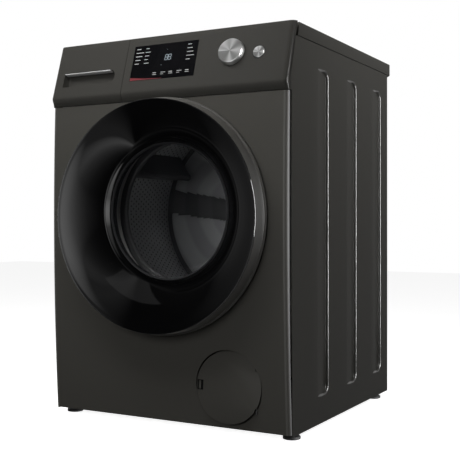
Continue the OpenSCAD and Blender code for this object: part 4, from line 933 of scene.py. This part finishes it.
class WASHER_OT_display(Operator):
    """Black window with its figures, marks and red stripe"""

    bl_idname = "washer.display"
    bl_label = "Display"

    def execute(self, context):
        slope = slope_matrix()
        gap = 0.0003
        low, high = DISPLAY_LEFT + gap, DISPLAY_RIGHT - gap
        bottom, top = DISPLAY_BOTTOM + gap, DISPLAY_TOP - gap

        def lay(name, parts, look, replaces=()):
            dress(name, set_on(slope, joined(name, parts)), look, "cabinet", replaces)

        pane = plate_mesh("pane", rounded_box(low, bottom, high, top, 0.0008), -0.003, 0.0, 0.0003)
        lap = 0.0015
        back = box_mesh("back", (low - lap, bottom - lap, -0.0054), (high + lap, top + lap, -0.0031))
        lay("display_glass", [pane, back], "panel_glass", ["display_window"])
        figures = [eight_mesh(x, 0.070, 0.0125) for x in (-0.0005, 0.0075)]
        figures += [bar_mesh(x, y, 0.0011, 0.0011)
                    for x, y in ((0.0155, 0.0700), (-0.0075, 0.0582), (0.0015, 0.0945))]
        lay("display_figures", figures, "glow")
        lay("display_marks", self.marks(low, high), "mark")
        stripe = plate_mesh("stripe", [(low + 0.001, 0.0270), (low + 0.083, 0.0270), (low + 0.083, 0.0276),
                                       (low + 0.040, 0.0296), (low + 0.001, 0.0335)], 0.00004, 0.00022)
        lay("display_stripe", [stripe], "stripe")
        return {"FINISHED"}

    def marks(self, low, high):
        """Short pale bars in three columns, and pairs of bars in a row along the bottom."""
        marks, line, top, pitch = [], 0.0014, 0.101, 0.0088
        for row in range(5):
            y = top - row * pitch
            marks += [bar_mesh(low + 0.006, y, 0.011 + 0.003 * ((row * 3) % 4), line),
                      bar_mesh(high - 0.026, y, 0.010 + 0.003 * ((row * 5) % 4), line),
                      bar_mesh(low + 0.030, y, 0.009 + 0.002 * ((row * 2) % 3), line)]
        for column in range(5):
            x = low + 0.058 + column * 0.0205
            marks += [bar_mesh(x, 0.0405, 0.009 + 0.003 * (column % 2), line),
                      bar_mesh(x, 0.0365, 0.007 + 0.003 * ((column + 1) % 2), 0.0011)]
        return marks


# ---- Controls ----

def round_uv(mesh, radius):
    """Lays a flat map over a turned piece, with its axis at the map's origin."""
    layer = mesh.uv_layers.new(name="round")
    for corner in mesh.loops:
        place = mesh.vertices[corner.vertex_index].co
        layer.data[corner.index].uv = (place.x / radius, place.y / radius)


class WASHER_OT_controls(Operator):
    """Programme knob and start button"""

    bl_idname = "washer.controls"
    bl_label = "Knob and button"

    def execute(self, context):
        slope, size = slope_matrix(), washer().sizes
        at_knob = slope @ Matrix.Translation((KNOB_X, KNOB_RISE, 0))
        at_button = slope @ Matrix.Translation((BUTTON_X, BUTTON_RISE, 0))
        r, face, high = size.knob_radius, size.knob_face, size.knob_height
        knob = from_points("knob", *spun([
            (AXIS, -0.015), (0.005, -0.015), (0.005, 0.0004), (r - 0.0008, 0.0004), (r, 0.0012),
            (r - 0.0002, 0.0024), (face + 0.0022, high - 0.0022), (face + 0.0016, high - 0.0009),
            (face + 0.0006, high - 0.0002), (face, high), (face - 0.0008, high - 0.0006),
            (AXIS, high - 0.0006)]))
        round_uv(knob, r)
        dress("knob", set_on(at_knob, knob), "knob", "knob", ["program_knob"], 24)
        r = BUTTON_R
        cap = from_points("button", *spun([
            (AXIS, -0.0158), (0.004, -0.0158), (0.004, -0.007), (r, -0.007), (r, 0.0010),
            (r - 0.0003, 0.0015), (r - 0.0008, 0.0018), (r - 0.0022, 0.0012), (AXIS, 0.0010)]))
        round_uv(cap, r)
        dress("button", set_on(at_button, cap), "knob", "button", ["start_button"], 24)
        ring = from_points("button_ring", *spun([
            (r + 0.0005, -0.0002), (r + 0.0007, 0.0003), (r + 0.0014, 0.0003), (r + 0.0016, -0.0002)]))
        dress("button_ring", set_on(at_button, ring), "dark", "cabinet")
        return {"FINISHED"}


# ---- Door ----

def dish_point(t, a, back=0.0):
    """A point of the door's dished face: t runs from the rim to the window, a is the angle."""
    outer, inner = DOOR_R - 0.0035, WINDOW_R + 0.0003
    front, seat = 0.001 - DOOR_OUT, 0.0127
    r = outer + (inner - outer) * t
    y = front + (seat - front) * (0.55 * t + 0.45 * t ** 3) + back
    z = DOOR_Z + (WINDOW_Z - DOOR_Z) * t
    return at(r * math.cos(a), y, z + r * math.sin(a))


def ring_point(r, y, a, z=DOOR_Z):
    """A point on a ring round the door's axis, or round one at another height."""
    return at(r * math.cos(a), y, z + r * math.sin(a))


class WASHER_OT_door(Operator):
    """Door: polished dish, outer rim, liner behind the dish, window ring with its lip, and glass bowl"""

    bl_idname = "washer.door"
    bl_label = "Door"

    def execute(self, context):
        tall = 0.047
        notch = box_mesh("notch", at(lowest("hinge_bracket", "x") - 0.002, -0.038, DOOR_Z - tall),
                         at(lowest("door_hinge_arm", "x") + 0.020, 0.001, DOOR_Z + tall))
        dress("door_dish", self.dish(), "black", "door", ["door_cover"], 40)
        # The rim takes the pale grey-beige of painted reflection
        dress("door_rim_ring", self.rim(notch), "door_side_painted_reflection", "door", ["door_rim"], 30)
        dress("door_liner", self.liner(notch), "grey", "door", ["door_inner_frame"], 30)
        ring = [(WINDOW_R, 0.0127), (WINDOW_R - 0.0016, 0.0133), (0.1502, 0.0236), (0.1495, 0.0252),
                (0.1495, 0.0272), (WINDOW_R - 0.002, 0.0272), (WINDOW_R, 0.0247)]
        lip = [(0.1498, 0.0242), (0.1488, 0.0240), (0.1462, 0.0262), (0.1456, 0.0270), (0.1458, 0.0274),
               (0.1494, 0.0274), (0.1494, 0.0252)]
        ring = from_points("window_ring", *turned(ring, 0, WINDOW_Z, DOOR_STEPS))
        lip = from_points("window_lip", *turned(lip, 0, WINDOW_Z, DOOR_STEPS))
        dress("window_ring", ring, "black", "door", ["door_window_ring"], 30)
        dress("window_lip", lip, "ring", "door", [], 30)
        dress("glass_bowl", self.bowl(), "glass", "door", ["door_glass"], 40)
        return {"FINISHED"}

    def dish(self):
        """Polished dish: a rounded rim, the dished face, and its back."""
        edge, thick = 0.0018, 0.0024
        face = [math.sin(math.pi / 2 * share) for share in stations(0, 1, 26)]
        back = [math.sin(math.pi / 2 * share) for share in stations(1, 0, 8)]
        loops = []
        for a in around(DOOR_STEPS):
            loop = [ring_point(DOOR_R, -DOOR_OUT + 0.003, a)]
            loop += [ring_point(r, y, a) for r, y in arc(DOOR_R - edge, -DOOR_OUT + edge, edge, 0, -90, 6)]
            loop += [dish_point(t, a) for t in face] + [dish_point(t, a, thick) for t in back]
            loops.append(loop)
        return from_points("door_dish", *round_skin(loops))

    def rim(self, notch):
        """Flared outer rim, notched for the hinge."""
        r, foot, inside = DOOR_R, DOOR_FOOT_R, 0.2403
        rim = [(r - 0.0025, -0.0392), (r, -0.0392), (r + 0.0006, -0.030), (r + 0.0014, -0.018),
               (r + 0.0024, -0.0100), (r + 0.0030, -0.0085), (foot - 0.0008, -0.0072), (foot, -0.0064),
               (foot, -0.0036), (foot - 0.0006, -0.003), (inside, -0.003), (inside, -0.0055),
               (r - 0.0015, -0.0055)]
        return carved(from_points("door_rim_ring", *turned(rim, 0, DOOR_Z, DOOR_STEPS)), [notch])

    def liner(self, notch):
        """Inner frame: a flat rim behind the dish, a plug that carries the glass, and the hook's two lugs."""
        plug = [(0.1845, -0.0055), (0.172, 0.0028), (0.172, 0.0313), (0.169, 0.0343), (0.1505, 0.0343),
                (0.1505, 0.0318), (0.168, 0.0318), (0.170, 0.0300), (0.170, 0.0045), (0.1825, -0.003)]
        flat = [(0.240, -0.003), (0.240, -0.0055)]
        body = from_points("liner", *round_skin([[ring_point(r, y, a) for r, y in flat]
                                             + [ring_point(r, y, a, WINDOW_Z) for r, y in plug]
                                             for a in around(DOOR_STEPS)]))
        low, high = lowest("door_hook", "x") - 0.003, highest("door_hook", "x") + 0.006
        slot = box_mesh("hook_slot", at(low + 0.002, -0.032, WINDOW_Z - 0.008),
                        at(high - 0.001, 0.001, WINDOW_Z + 0.008))
        lugs = [box_mesh("lug", at(low, -0.019, WINDOW_Z + side * 0.013 - 0.002),
                         at(high, -0.0045, WINDOW_Z + side * 0.013 + 0.002), 0.0004) for side in (-1, 1)]
        return joined("door_liner", [carved(body, [notch, slot])] + lugs)

    def bowl(self):
        """Glass bowl: a flange, a tapering wall and a slightly domed nose."""
        flange, wall = 0.0275, 0.004
        r, nose_r, nose_y = 0.149, 0.122, 0.112
        bend_r, bend_y, seat = nose_r - 0.008, nose_y - 0.012, flange + wall
        outer = [(WINDOW_R - 0.002, flange), (WINDOW_R - 0.002, seat), (r, seat)]
        outer += [(r + (nose_r + 0.004 - r) * t, seat + (bend_y - seat) * t) for t in (0.25, 0.5, 0.75, 1)]
        outer += arc(bend_r, bend_y, 0.012, 15, 90, 5)
        outer += [(0.09, nose_y + 0.0012), (0.05, nose_y + 0.0024), (AXIS, nose_y + 0.003)]
        inner = [(AXIS, nose_y - 0.001), (0.05, nose_y - 0.0016), (0.09, nose_y - 0.0028),
                 (nose_r - 0.010, nose_y - 0.004)]
        inner += arc(bend_r, bend_y, 0.008, 75, 0, 5)
        inner += [(r - wall + 0.0005, flange + 0.008), (r - wall + 0.0002, flange)]
        return from_points("glass_bowl", *turned(outer + inner, 0, WINDOW_Z))


# ---- Behind the door ----

class WASHER_OT_drum(Operator):
    """Perforated drum with pressed lobes in its back wall"""

    bl_idname = "washer.drum"
    bl_label = "Drum"

    def execute(self, context):
        sheet = dress("drum_sheet", self.wall(), "drum", "drum", ["drum_shell"], 50)
        # Painted shade: the drum's rolled mouth and front rim take the darkened steel
        refinish(sheet, "valley", lambda x, y, z: math.hypot(x, z - WINDOW_Z) < DRUM_R - 0.003)
        # Painted shade: the back wall between the lobes takes the darkened steel, and the lobes keep near the
        # steel's own colour
        rear = dress("drum_back", self.back(), "valley", "drum", [], 50)
        refinish(rear, "lobe", lambda x, y, z: self.relief(
            math.hypot(x, z - WINDOW_Z), math.atan2(z - WINDOW_Z, x)) > 0.5 * LOBE_HEIGHT)
        return {"FINISHED"}

    def wall(self):
        """Round wall of the drum with its rolled mouth, as two skins."""
        mouth, r, front, back = 0.158, DRUM_R, DRUM_FRONT, DRUM_BACK
        along = stations(front, back, 10)[3:10:2]
        outer = [(mouth, front + 0.008), (mouth + 0.0006, front + 0.003), (mouth + 0.003, front + 0.0006),
                 (mouth + 0.006, front), (r - 0.014, front)]
        outer += arc(r - 0.014, front + 0.014, 0.014, -75, 0, 5)
        outer += [(r, y) for y in along] + [(r, back - 0.0002)]
        inner = [(r - 0.001, back - 0.0002)] + [(r - 0.001, y) for y in reversed(along)]
        inner += arc(r - 0.0145, front + 0.0145, 0.0135, 0, -75, 5)
        inner += [(r - 0.0145, front + 0.001), (mouth + 0.006, front + 0.001),
                  (mouth + 0.003, front + 0.0022), (mouth + 0.001, front + 0.008)]
        return from_points("wall", *turned(outer + inner, 0, WINDOW_Z))

    def back(self):
        """Back wall of the drum, a plate with the lobes pressed into both of its faces."""
        edge = DRUM_R - 0.001
        radii = [0.0005 + i * 0.0095 for i in range(24)] + [edge, DRUM_R - 0.006, DRUM_R - 0.012]
        radii = sorted(radius for radius in set(radii) if radius <= edge + 0.0001)
        sections = []
        for behind, rings in ((0.0, radii), (0.0008, radii[::-1])):
            sections += [[at(radius * math.cos(a), DRUM_BACK - 0.0010 - self.relief(radius, a) + behind,
                             WINDOW_Z + radius * math.sin(a)) for a in around(216)] for radius in rings]
        return from_points("rear", *lofted(sections))

    def relief(self, radius, angle):
        """Height of the pressed lobes on the drum's back wall."""
        hub, share, sixth = 0.16, radius / DRUM_R, math.pi / 3
        if share < hub:
            return LOBE_HEIGHT
        turn, valley, flare, flank = math.radians(8), 0.014, 0.03, 0.022
        off = (angle + turn - sixth) % (2 * sixth) - sixth
        beside = radius * math.sin(sixth - abs(off)) - valley - flare * radius
        rise = min(1.0, max(0.0, beside / flank))
        rise = rise * rise * (3 - 2 * rise)
        edge = min(1.0, max(0.0, (0.96 - share) / 0.05)) * min(1.0, max(0.0, (share - hub) / 0.08))
        return LOBE_HEIGHT * max(rise * edge, 1 - min(1.0, (share - hub) / 0.05))


class WASHER_OT_bellows(Operator):
    """Rubber bellows between the front panel and the tub"""

    bl_idname = "washer.bellows"
    bl_label = "Bellows"

    def execute(self, context):
        line = [(0.1795, 0.0290), (0.1770, 0.0335), (0.1700, 0.0370), (0.1590, 0.0392), (0.1532, 0.0420),
                (0.1513, 0.0450), (0.1528, 0.0490), (0.1570, 0.0530), (0.1640, 0.0556), (0.1700, 0.0590),
                (0.1735, 0.0640), (0.1742, 0.0690), (0.1740, 0.0722)]
        half = 0.0013
        left, right = [], []
        for i, (r, y) in enumerate(line):
            before, after = line[max(i - 1, 0)], line[min(i + 1, len(line) - 1)]
            along = Vector((after[0] - before[0], after[1] - before[1])).normalized()
            side = Vector((-along.y, along.x)) * half
            left.append((r + side.x, y + side.y))
            right.append((r - side.x, y - side.y))
        mesh = from_points("bellows", *turned(left + right[::-1], 0, WINDOW_Z))
        dress("bellows", mesh, "bellows", "cabinet", ["door_gasket"], 60)
        return {"FINISHED"}


class WASHER_OT_flap(Operator):
    """Round filter flap with its pocket, upright tab and hinge pin"""

    bl_idname = "washer.flap"
    bl_label = "Filter flap"

    def execute(self, context):
        r, tall, wide = FILTER_R, 0.0105, 0.0155
        axis = r - FLAP_HINGE_IN
        tilt = math.atan((bow(FILTER_Z + r) - bow(FILTER_Z - r)) / (2 * r))
        place = (Matrix.Translation(at(FILTER_X, bow(FILTER_Z) - 0.0002, FILTER_Z))
                 @ Matrix.Rotation(math.pi / 2 + tilt, 4, "X"))
        edge, clear = self.relief(axis)
        cutters = [box_mesh("pocket", (-r - 0.001, -tall, -0.0019), (-r + wide, tall, 0.002))]
        cutters += [box_mesh("relief", (edge, low, -0.01), (r + 0.001, high, 0.01))
                    for low, high in ((clear, r), (-r, -clear))]
        disc = carved(plate_mesh("disc", circle(0, 0, r, 128), -FLAP_THICK, 0.0, 0.0003), cutters)
        tab = box_mesh("tab", (-r + 0.0046, -tall + 0.0022, -0.0018),
                       (-r + 0.0098, tall - 0.0022, -0.0003), 0.0004)
        # Painted shade: a black plate at the bottom of the pocket beside the tab stands for the dark recess
        well = box_mesh("well", (-r + 0.0012, -tall + 0.0002, -0.0021),
                        (-r + wide - 0.0002, tall - 0.0002, -0.00188))
        dress("flap", set_on(place, disc), "paint", "filter_flap", ["filter_door"], 30)
        dress("flap_tab", set_on(place, tab), "paint", "filter_flap")
        dress("flap_pocket", set_on(place, well), "black", "filter_flap")
        thin, thick, neck, end = 0.0012, 0.0022, 0.034, 0.050
        pin = from_points("pin", *spun([(AXIS, -end), (thin, -end), (thin, -neck), (thick, -neck),
                                        (thick, neck), (thin, neck), (thin, end), (AXIS, end)], 32))
        upright = (Matrix.Translation(at(FILTER_X + axis, bow(FILTER_Z) + FLAP_THICK, FILTER_Z))
                   @ Matrix.Rotation(tilt, 4, "X"))
        dress("flap_pin", set_on(upright, pin), "dark", "filter_flap")
        return {"FINISHED"}

    def relief(self, axis):
        """Where the flap is cut back beside its hinge, so that it clears the rim of its hole as it opens."""
        half_swing, slack, pin = math.radians(47.5), 0.0004, 0.003
        edge = axis - FLAP_THICK * math.tan(half_swing) - slack
        return edge, math.sqrt((FILTER_R + FLAP_GAP) ** 2 - (axis + pin) ** 2)


class WASHER_OT_feet(Operator):
    """Screw feet: a rubber sole on a threaded stem"""

    bl_idname = "washer.feet"
    bl_label = "Feet"

    def execute(self, context):
        sole, stem, pitch = 0.006, 0.004, 0.00125
        for name, body in (("foot_front_left", "foot_fl"), ("foot_front_right", "foot_fr"),
                           ("foot_rear_left", "foot_rl"), ("foot_rear_right", "foot_rr")):
            r, top = half_size(name, "x"), highest(name, "z")
            profile = [(AXIS, 0), (r - 0.0008, 0), (r, 0.0008), (r, sole - 0.0012), (r - 0.0012, sole),
                       (stem, sole)]
            z = sole + 0.0008
            while z < top - 0.0012:
                profile += [(stem, z), (stem - 0.0005, z + 0.0006)]
                z += pitch
            profile += [(stem - 0.0004, top), (AXIS, top)]
            foot = from_points("foot", *spun(profile, 64))
            foot.transform(Matrix.Translation((middle(name, "x"), middle(name, "y"), 0)))
            dress(name + "_dressed", foot, "hose", body, [name], 30)
        return {"FINISHED"}


# ---- Stage ----

# What gloss shows in front: its brightness at each turn from the machine's front towards its right,
# in degrees, with a jump to full brightness at the last turn
SOFT_BOXES = (
    (-100, 0.03), (-78, 0.09), (-66, 0.07), (-56, 0.055), (-48, 0.02), (-28, 0.02), (-22, 0.48), (-14, 0.95),
    (-3, 0.95), (3, 0.68), (9, 0.43), (17, 0.256), (26, 0.152), (36, 0.075), (47, 0.036), (58, 0.01),
    (70, 0.005), (70, 1.0))


def soft_light(name, place, target, wide, high, power, gloss=False):
    """A flat lamp: it either lights the surfaces, or is only seen in their gloss."""
    data = bpy.data.lights.new(name, "AREA")
    data.shape = "RECTANGLE"
    data.size, data.size_y = wide, high
    data.energy = power
    light = bpy.data.objects.new(name, data)
    bpy.context.scene.collection.objects.link(light)
    light.location = place
    light.rotation_euler = (Vector(target) - Vector(place)).to_track_quat("-Z", "Y").to_euler()
    light.visible_diffuse, light.visible_glossy = not gloss, gloss


def background(nodes, color, strength=1.0):
    """A plain light of one colour for the world."""
    node = nodes.new("ShaderNodeBackground")
    node.inputs["Color"].default_value = (*color, 1)
    node.inputs["Strength"].default_value = strength
    return node


def mixed(nodes, links, share, first, second):
    """A shader that goes over from the first to the second as share rises."""
    node = nodes.new("ShaderNodeMixShader")
    links.new(share, node.inputs["Fac"])
    links.new(first, node.inputs[1])
    links.new(second, node.inputs[2])
    return node.outputs["Shader"]


class WASHER_OT_stage(Operator):
    """Floor, backdrop, soft lights and camera"""

    bl_idname = "washer.stage"
    bl_label = "Stage"

    def execute(self, context):
        context.scene.view_settings.view_transform = "Standard"
        self.surroundings(context.scene)
        self.floor()
        stage = washer().stage
        soft_light("fill", (0.0, -2.2, 0.9), (0, -0.3, 0.4), 1.0, 0.8, stage.key)
        soft_light("key", (-0.9, -0.9, 1.9), (-0.1, -0.3, 0.6), 1.0, 0.8, stage.key * 0.8)
        soft_light("brow", (0.0, -0.75, 1.25), (0, -0.3, 0.6), 0.8, 0.3, stage.key * 0.32)
        soft_light("side", (1.9, 0.3, 1.2), (0.3, 0.1, 0.45), 1.2, 1.0, stage.side)
        soft_light("side_top", (0.7, 0.15, 1.25), (0.3, 0.1, 0.6), 0.9, 0.3, stage.side * 0.35)
        soft_light("edge", (2.3, 0.05, 0.7), (0.3, -0.29, 0.5), 0.8, 1.7, stage.edge, True)
        soft_light("sky", (-0.25, -0.85, 1.36), (0.1, -0.3, 0.8), 0.75, 0.75, stage.sky, True)
        self.camera(context.scene)
        return {"FINISHED"}

    def surroundings(self, scene):
        """Dim light for the surfaces, white for the camera and through glass, and soft boxes in the gloss."""
        scene.world = bpy.data.worlds.new("studio")
        scene.world.use_nodes = True
        nodes, links = scene.world.node_tree.nodes, scene.world.node_tree.links
        nodes.clear()
        path, output = nodes.new("ShaderNodeLightPath"), nodes.new("ShaderNodeOutputWorld")
        dim = background(nodes, (1.0, 0.985, 0.965), washer().stage.ambient).outputs["Background"]
        white = background(nodes, (1, 1, 1)).outputs["Background"]
        seen = reckon(nodes, links, "MAXIMUM",
                      path.outputs["Is Camera Ray"], path.outputs["Is Transmission Ray"])
        room = mixed(nodes, links, path.outputs["Is Glossy Ray"], dim, self.gloss(nodes, links, white))
        links.new(mixed(nodes, links, seen, room, white), output.inputs["Surface"])

    def gloss(self, nodes, links, white):
        """What gloss shows: the white backdrop behind the machine, and soft boxes in front that fade."""
        place, split = nodes.new("ShaderNodeTexCoord"), nodes.new("ShaderNodeSeparateXYZ")
        links.new(place.outputs["Generated"], split.inputs["Vector"])
        x, y, z = (split.outputs[axis] for axis in "XYZ")

        def step(operation, *terms):
            return reckon(nodes, links, operation, *terms)

        aside = step("ARCTAN2", x, step("MULTIPLY", y, -1.0))
        first, span = SOFT_BOXES[0][0], SOFT_BOXES[-1][0] - SOFT_BOXES[0][0]
        boxes = nodes.new("ShaderNodeValToRGB")
        set_stops(boxes, [((turn - first) / span, (level,) * 3) for turn, level in SOFT_BOXES])
        links.new(step("MULTIPLY_ADD", aside, 1 / math.radians(span), -first / span), boxes.inputs["Fac"])
        right = nodes.new("ShaderNodeMapRange")
        right.inputs["From Min"].default_value, right.inputs["From Max"].default_value = -0.09, 0.14
        links.new(aside, right.inputs["Value"])
        spill = step("MULTIPLY", right.outputs["Result"], step("MULTIPLY_ADD", z, -0.35, 0.33))
        tall = step("MULTIPLY", z, 1 / 0.4)
        height = step("MAXIMUM", step("SUBTRACT", 1.0, step("MULTIPLY", tall, tall)),
                      step("ADD", spill, 0.09))
        front = background(nodes, (1, 1, 1))
        links.new(boxes.outputs["Color"], front.inputs["Color"])
        links.new(step("MULTIPLY", height, washer().stage.front), front.inputs["Strength"])
        behind = nodes.new("ShaderNodeMapRange")
        behind.interpolation_type = "SMOOTHSTEP"
        behind.inputs["From Min"].default_value, behind.inputs["From Max"].default_value = -0.15, 0.30
        links.new(y, behind.inputs["Value"])
        return mixed(nodes, links, behind.outputs["Result"], front.outputs["Background"], white)

    def floor(self):
        """A pale floor that keeps the object's shadow and throws little light back."""
        mesh = bpy.data.meshes.new("floor")
        mesh.from_pydata([(-6, -6, 0), (6, -6, 0), (6, 6, 0), (-6, 6, 0)], [], [(0, 1, 2, 3)])
        material, nodes, links, pale = principled("floor", (0.9, 0.9, 0.9), 0.9, 0.0, 0.0)
        pale.inputs["Emission Color"].default_value = (1, 1, 1, 1)
        pale.inputs["Emission Strength"].default_value = 0.9
        grey = nodes.new("ShaderNodeBsdfDiffuse")
        grey.inputs["Color"].default_value = (0.12, 0.12, 0.12, 1)
        path = nodes.new("ShaderNodeLightPath")
        surface = mixed(nodes, links, path.outputs["Is Diffuse Ray"],
                        pale.outputs["BSDF"], grey.outputs["BSDF"])
        links.new(surface, nodes["Material Output"].inputs["Surface"])
        floor = bpy.data.objects.new("floor", mesh)
        mesh.materials.append(material)
        bpy.context.scene.collection.objects.link(floor)
        floor.visible_glossy = False

    def camera(self, scene):
        """A long lens a little below the door's middle, looking at the front and the right side."""
        data = bpy.data.cameras.new("camera")
        data.lens, data.sensor_width = 70.04, 36
        data.shift_x, data.shift_y = 0.0317, -0.0232
        camera = bpy.data.objects.new("camera", data)
        scene.collection.objects.link(camera)
        camera.location = (1.04479, -1.91121, 0.44140)
        camera.rotation_euler = (math.radians(90.2375), math.radians(-0.021), math.radians(29.427))
        scene.camera = camera


class WASHER_OT_inner(Operator):
    """Materials for the frame's own pieces behind the panels"""

    bl_idname = "washer.inner"
    bl_label = "Inner parts"

    def execute(self, context):
        dress_frame()
        return {"FINISHED"}


# ---- Settings, panel and registration ----

class Sizes(PropertyGroup):
    bow_radius: FloatProperty(
        name="Bow radius", description="Radius of the front panel's bow", default=6.73, min=4, unit="LENGTH")
    bow_height: FloatProperty(
        name="Bow height", description="Height of the bow's foremost line", default=0.459, unit="LENGTH")
    corner_radius: FloatProperty(
        name="Corner radius", description="Radius of the front panel's upright corners", default=0.011,
        min=0.008, unit="LENGTH")
    rib_depth: FloatProperty(
        name="Rib depth", description="Depth of a side rib's rear wall", default=0.006, unit="LENGTH")
    rib_run: FloatProperty(
        name="Rib run", description="Length of a side rib's ramp", default=0.062, unit="LENGTH")
    end_radius: FloatProperty(
        name="Fascia end radius", description="Radius of the fascia's rounded ends", default=0.012,
        min=0.004, unit="LENGTH")
    lip_radius: FloatProperty(
        name="Lip radius", description="Rounding of the fascia's lip", default=0.002, unit="LENGTH")
    grip_width: FloatProperty(
        name="Grip width", description="Length of the drawer's grip recess", default=0.143, unit="LENGTH")
    grip_height: FloatProperty(
        name="Grip height", description="Height of the drawer's grip recess", default=0.034, unit="LENGTH")
    grip_depth: FloatProperty(
        name="Grip depth", description="Depth of the drawer's grip recess", default=0.018, unit="LENGTH")
    knob_radius: FloatProperty(
        name="Knob radius", description="Radius of the knob's base", default=0.029, unit="LENGTH")
    knob_face: FloatProperty(
        name="Knob face", description="Radius of the knob's face", default=0.0255, unit="LENGTH")
    knob_height: FloatProperty(
        name="Knob height", description="Height of the knob", default=0.012, unit="LENGTH")


class Finishes(PropertyGroup):
    cabinet: FloatVectorProperty(
        name="Cabinet", description="Lacquer of the cabinet", subtype="COLOR", size=3, min=0, max=1,
        default=(0.046, 0.0445, 0.040))
    fascia: FloatVectorProperty(
        name="Fascia", description="Lacquer of the fascia", subtype="COLOR", size=3, min=0, max=1,
        default=(0.034, 0.033, 0.030))
    door: FloatVectorProperty(
        name="Door", description="Black of the door", subtype="COLOR", size=3, min=0, max=1,
        default=(0.0012, 0.0012, 0.0013))
    drum: FloatVectorProperty(
        name="Drum", description="Steel of the drum", subtype="COLOR", size=3, min=0, max=1,
        default=(0.75, 0.76, 0.77))
    knob: FloatVectorProperty(
        name="Knob", description="Metal of the knob", subtype="COLOR", size=3, min=0, max=1,
        default=(0.70, 0.70, 0.685))


class Stage(PropertyGroup):
    ambient: FloatProperty(
        name="Ambient", description="Strength of the surrounding light", default=0.02, min=0)
    key: FloatProperty(
        name="Key light", description="Power of the light on the front", default=18, min=0, unit="POWER")
    side: FloatProperty(
        name="Side light", description="Power of the light on the right side", default=11, min=0,
        unit="POWER")
    front: FloatProperty(
        name="Front gloss", description="Brightness of the soft boxes in front, as gloss shows them",
        default=2.5, min=0)
    edge: FloatProperty(
        name="Edge gloss", description="Power of the soft box seen in the right-hand edges", default=260,
        min=0, unit="POWER")
    sky: FloatProperty(
        name="Sky gloss", description="Power of the soft box above, seen in the controls", default=0.35,
        min=0, unit="POWER")


class Washer(PropertyGroup):
    sizes: PointerProperty(type=Sizes, name="Sizes")
    finishes: PointerProperty(type=Finishes, name="Finishes")
    stage: PointerProperty(type=Stage, name="Stage")


STEPS = (WASHER_OT_inner, WASHER_OT_cabinet, WASHER_OT_lid, WASHER_OT_fascia, WASHER_OT_display,
         WASHER_OT_controls, WASHER_OT_door, WASHER_OT_drum, WASHER_OT_bellows, WASHER_OT_flap,
         WASHER_OT_feet, WASHER_OT_stage)


class VIEW3D_PT_washer(Panel):
    """Lists the steps and the sizes of the washing machine"""

    bl_label = "Washing machine"
    bl_space_type = "VIEW_3D"
    bl_region_type = "UI"
    bl_category = "Washer"

    def draw(self, context):
        for step in STEPS:
            self.layout.operator(step.bl_idname)
        for group in (washer().sizes, washer().finishes, washer().stage):
            for name in group.bl_rna.properties.keys():
                if name not in ("rna_type", "name"):
                    self.layout.prop(group, name)


CLASSES = (Sizes, Finishes, Stage, Washer, *STEPS, VIEW3D_PT_washer)


def register():
    for item in CLASSES:
        bpy.utils.register_class(item)
    bpy.types.Scene.washer = PointerProperty(type=Washer)


def unregister():
    del bpy.types.Scene.washer
    for item in reversed(CLASSES):
        bpy.utils.unregister_class(item)


def main():
    register()
    make_materials()
    for step in STEPS:
        group, name = step.bl_idname.split(".")
        if getattr(getattr(bpy.ops, group), name)() != {"FINISHED"}:
            raise RuntimeError(step.bl_label + " did not finish")


if __name__ == "__main__":
    main()
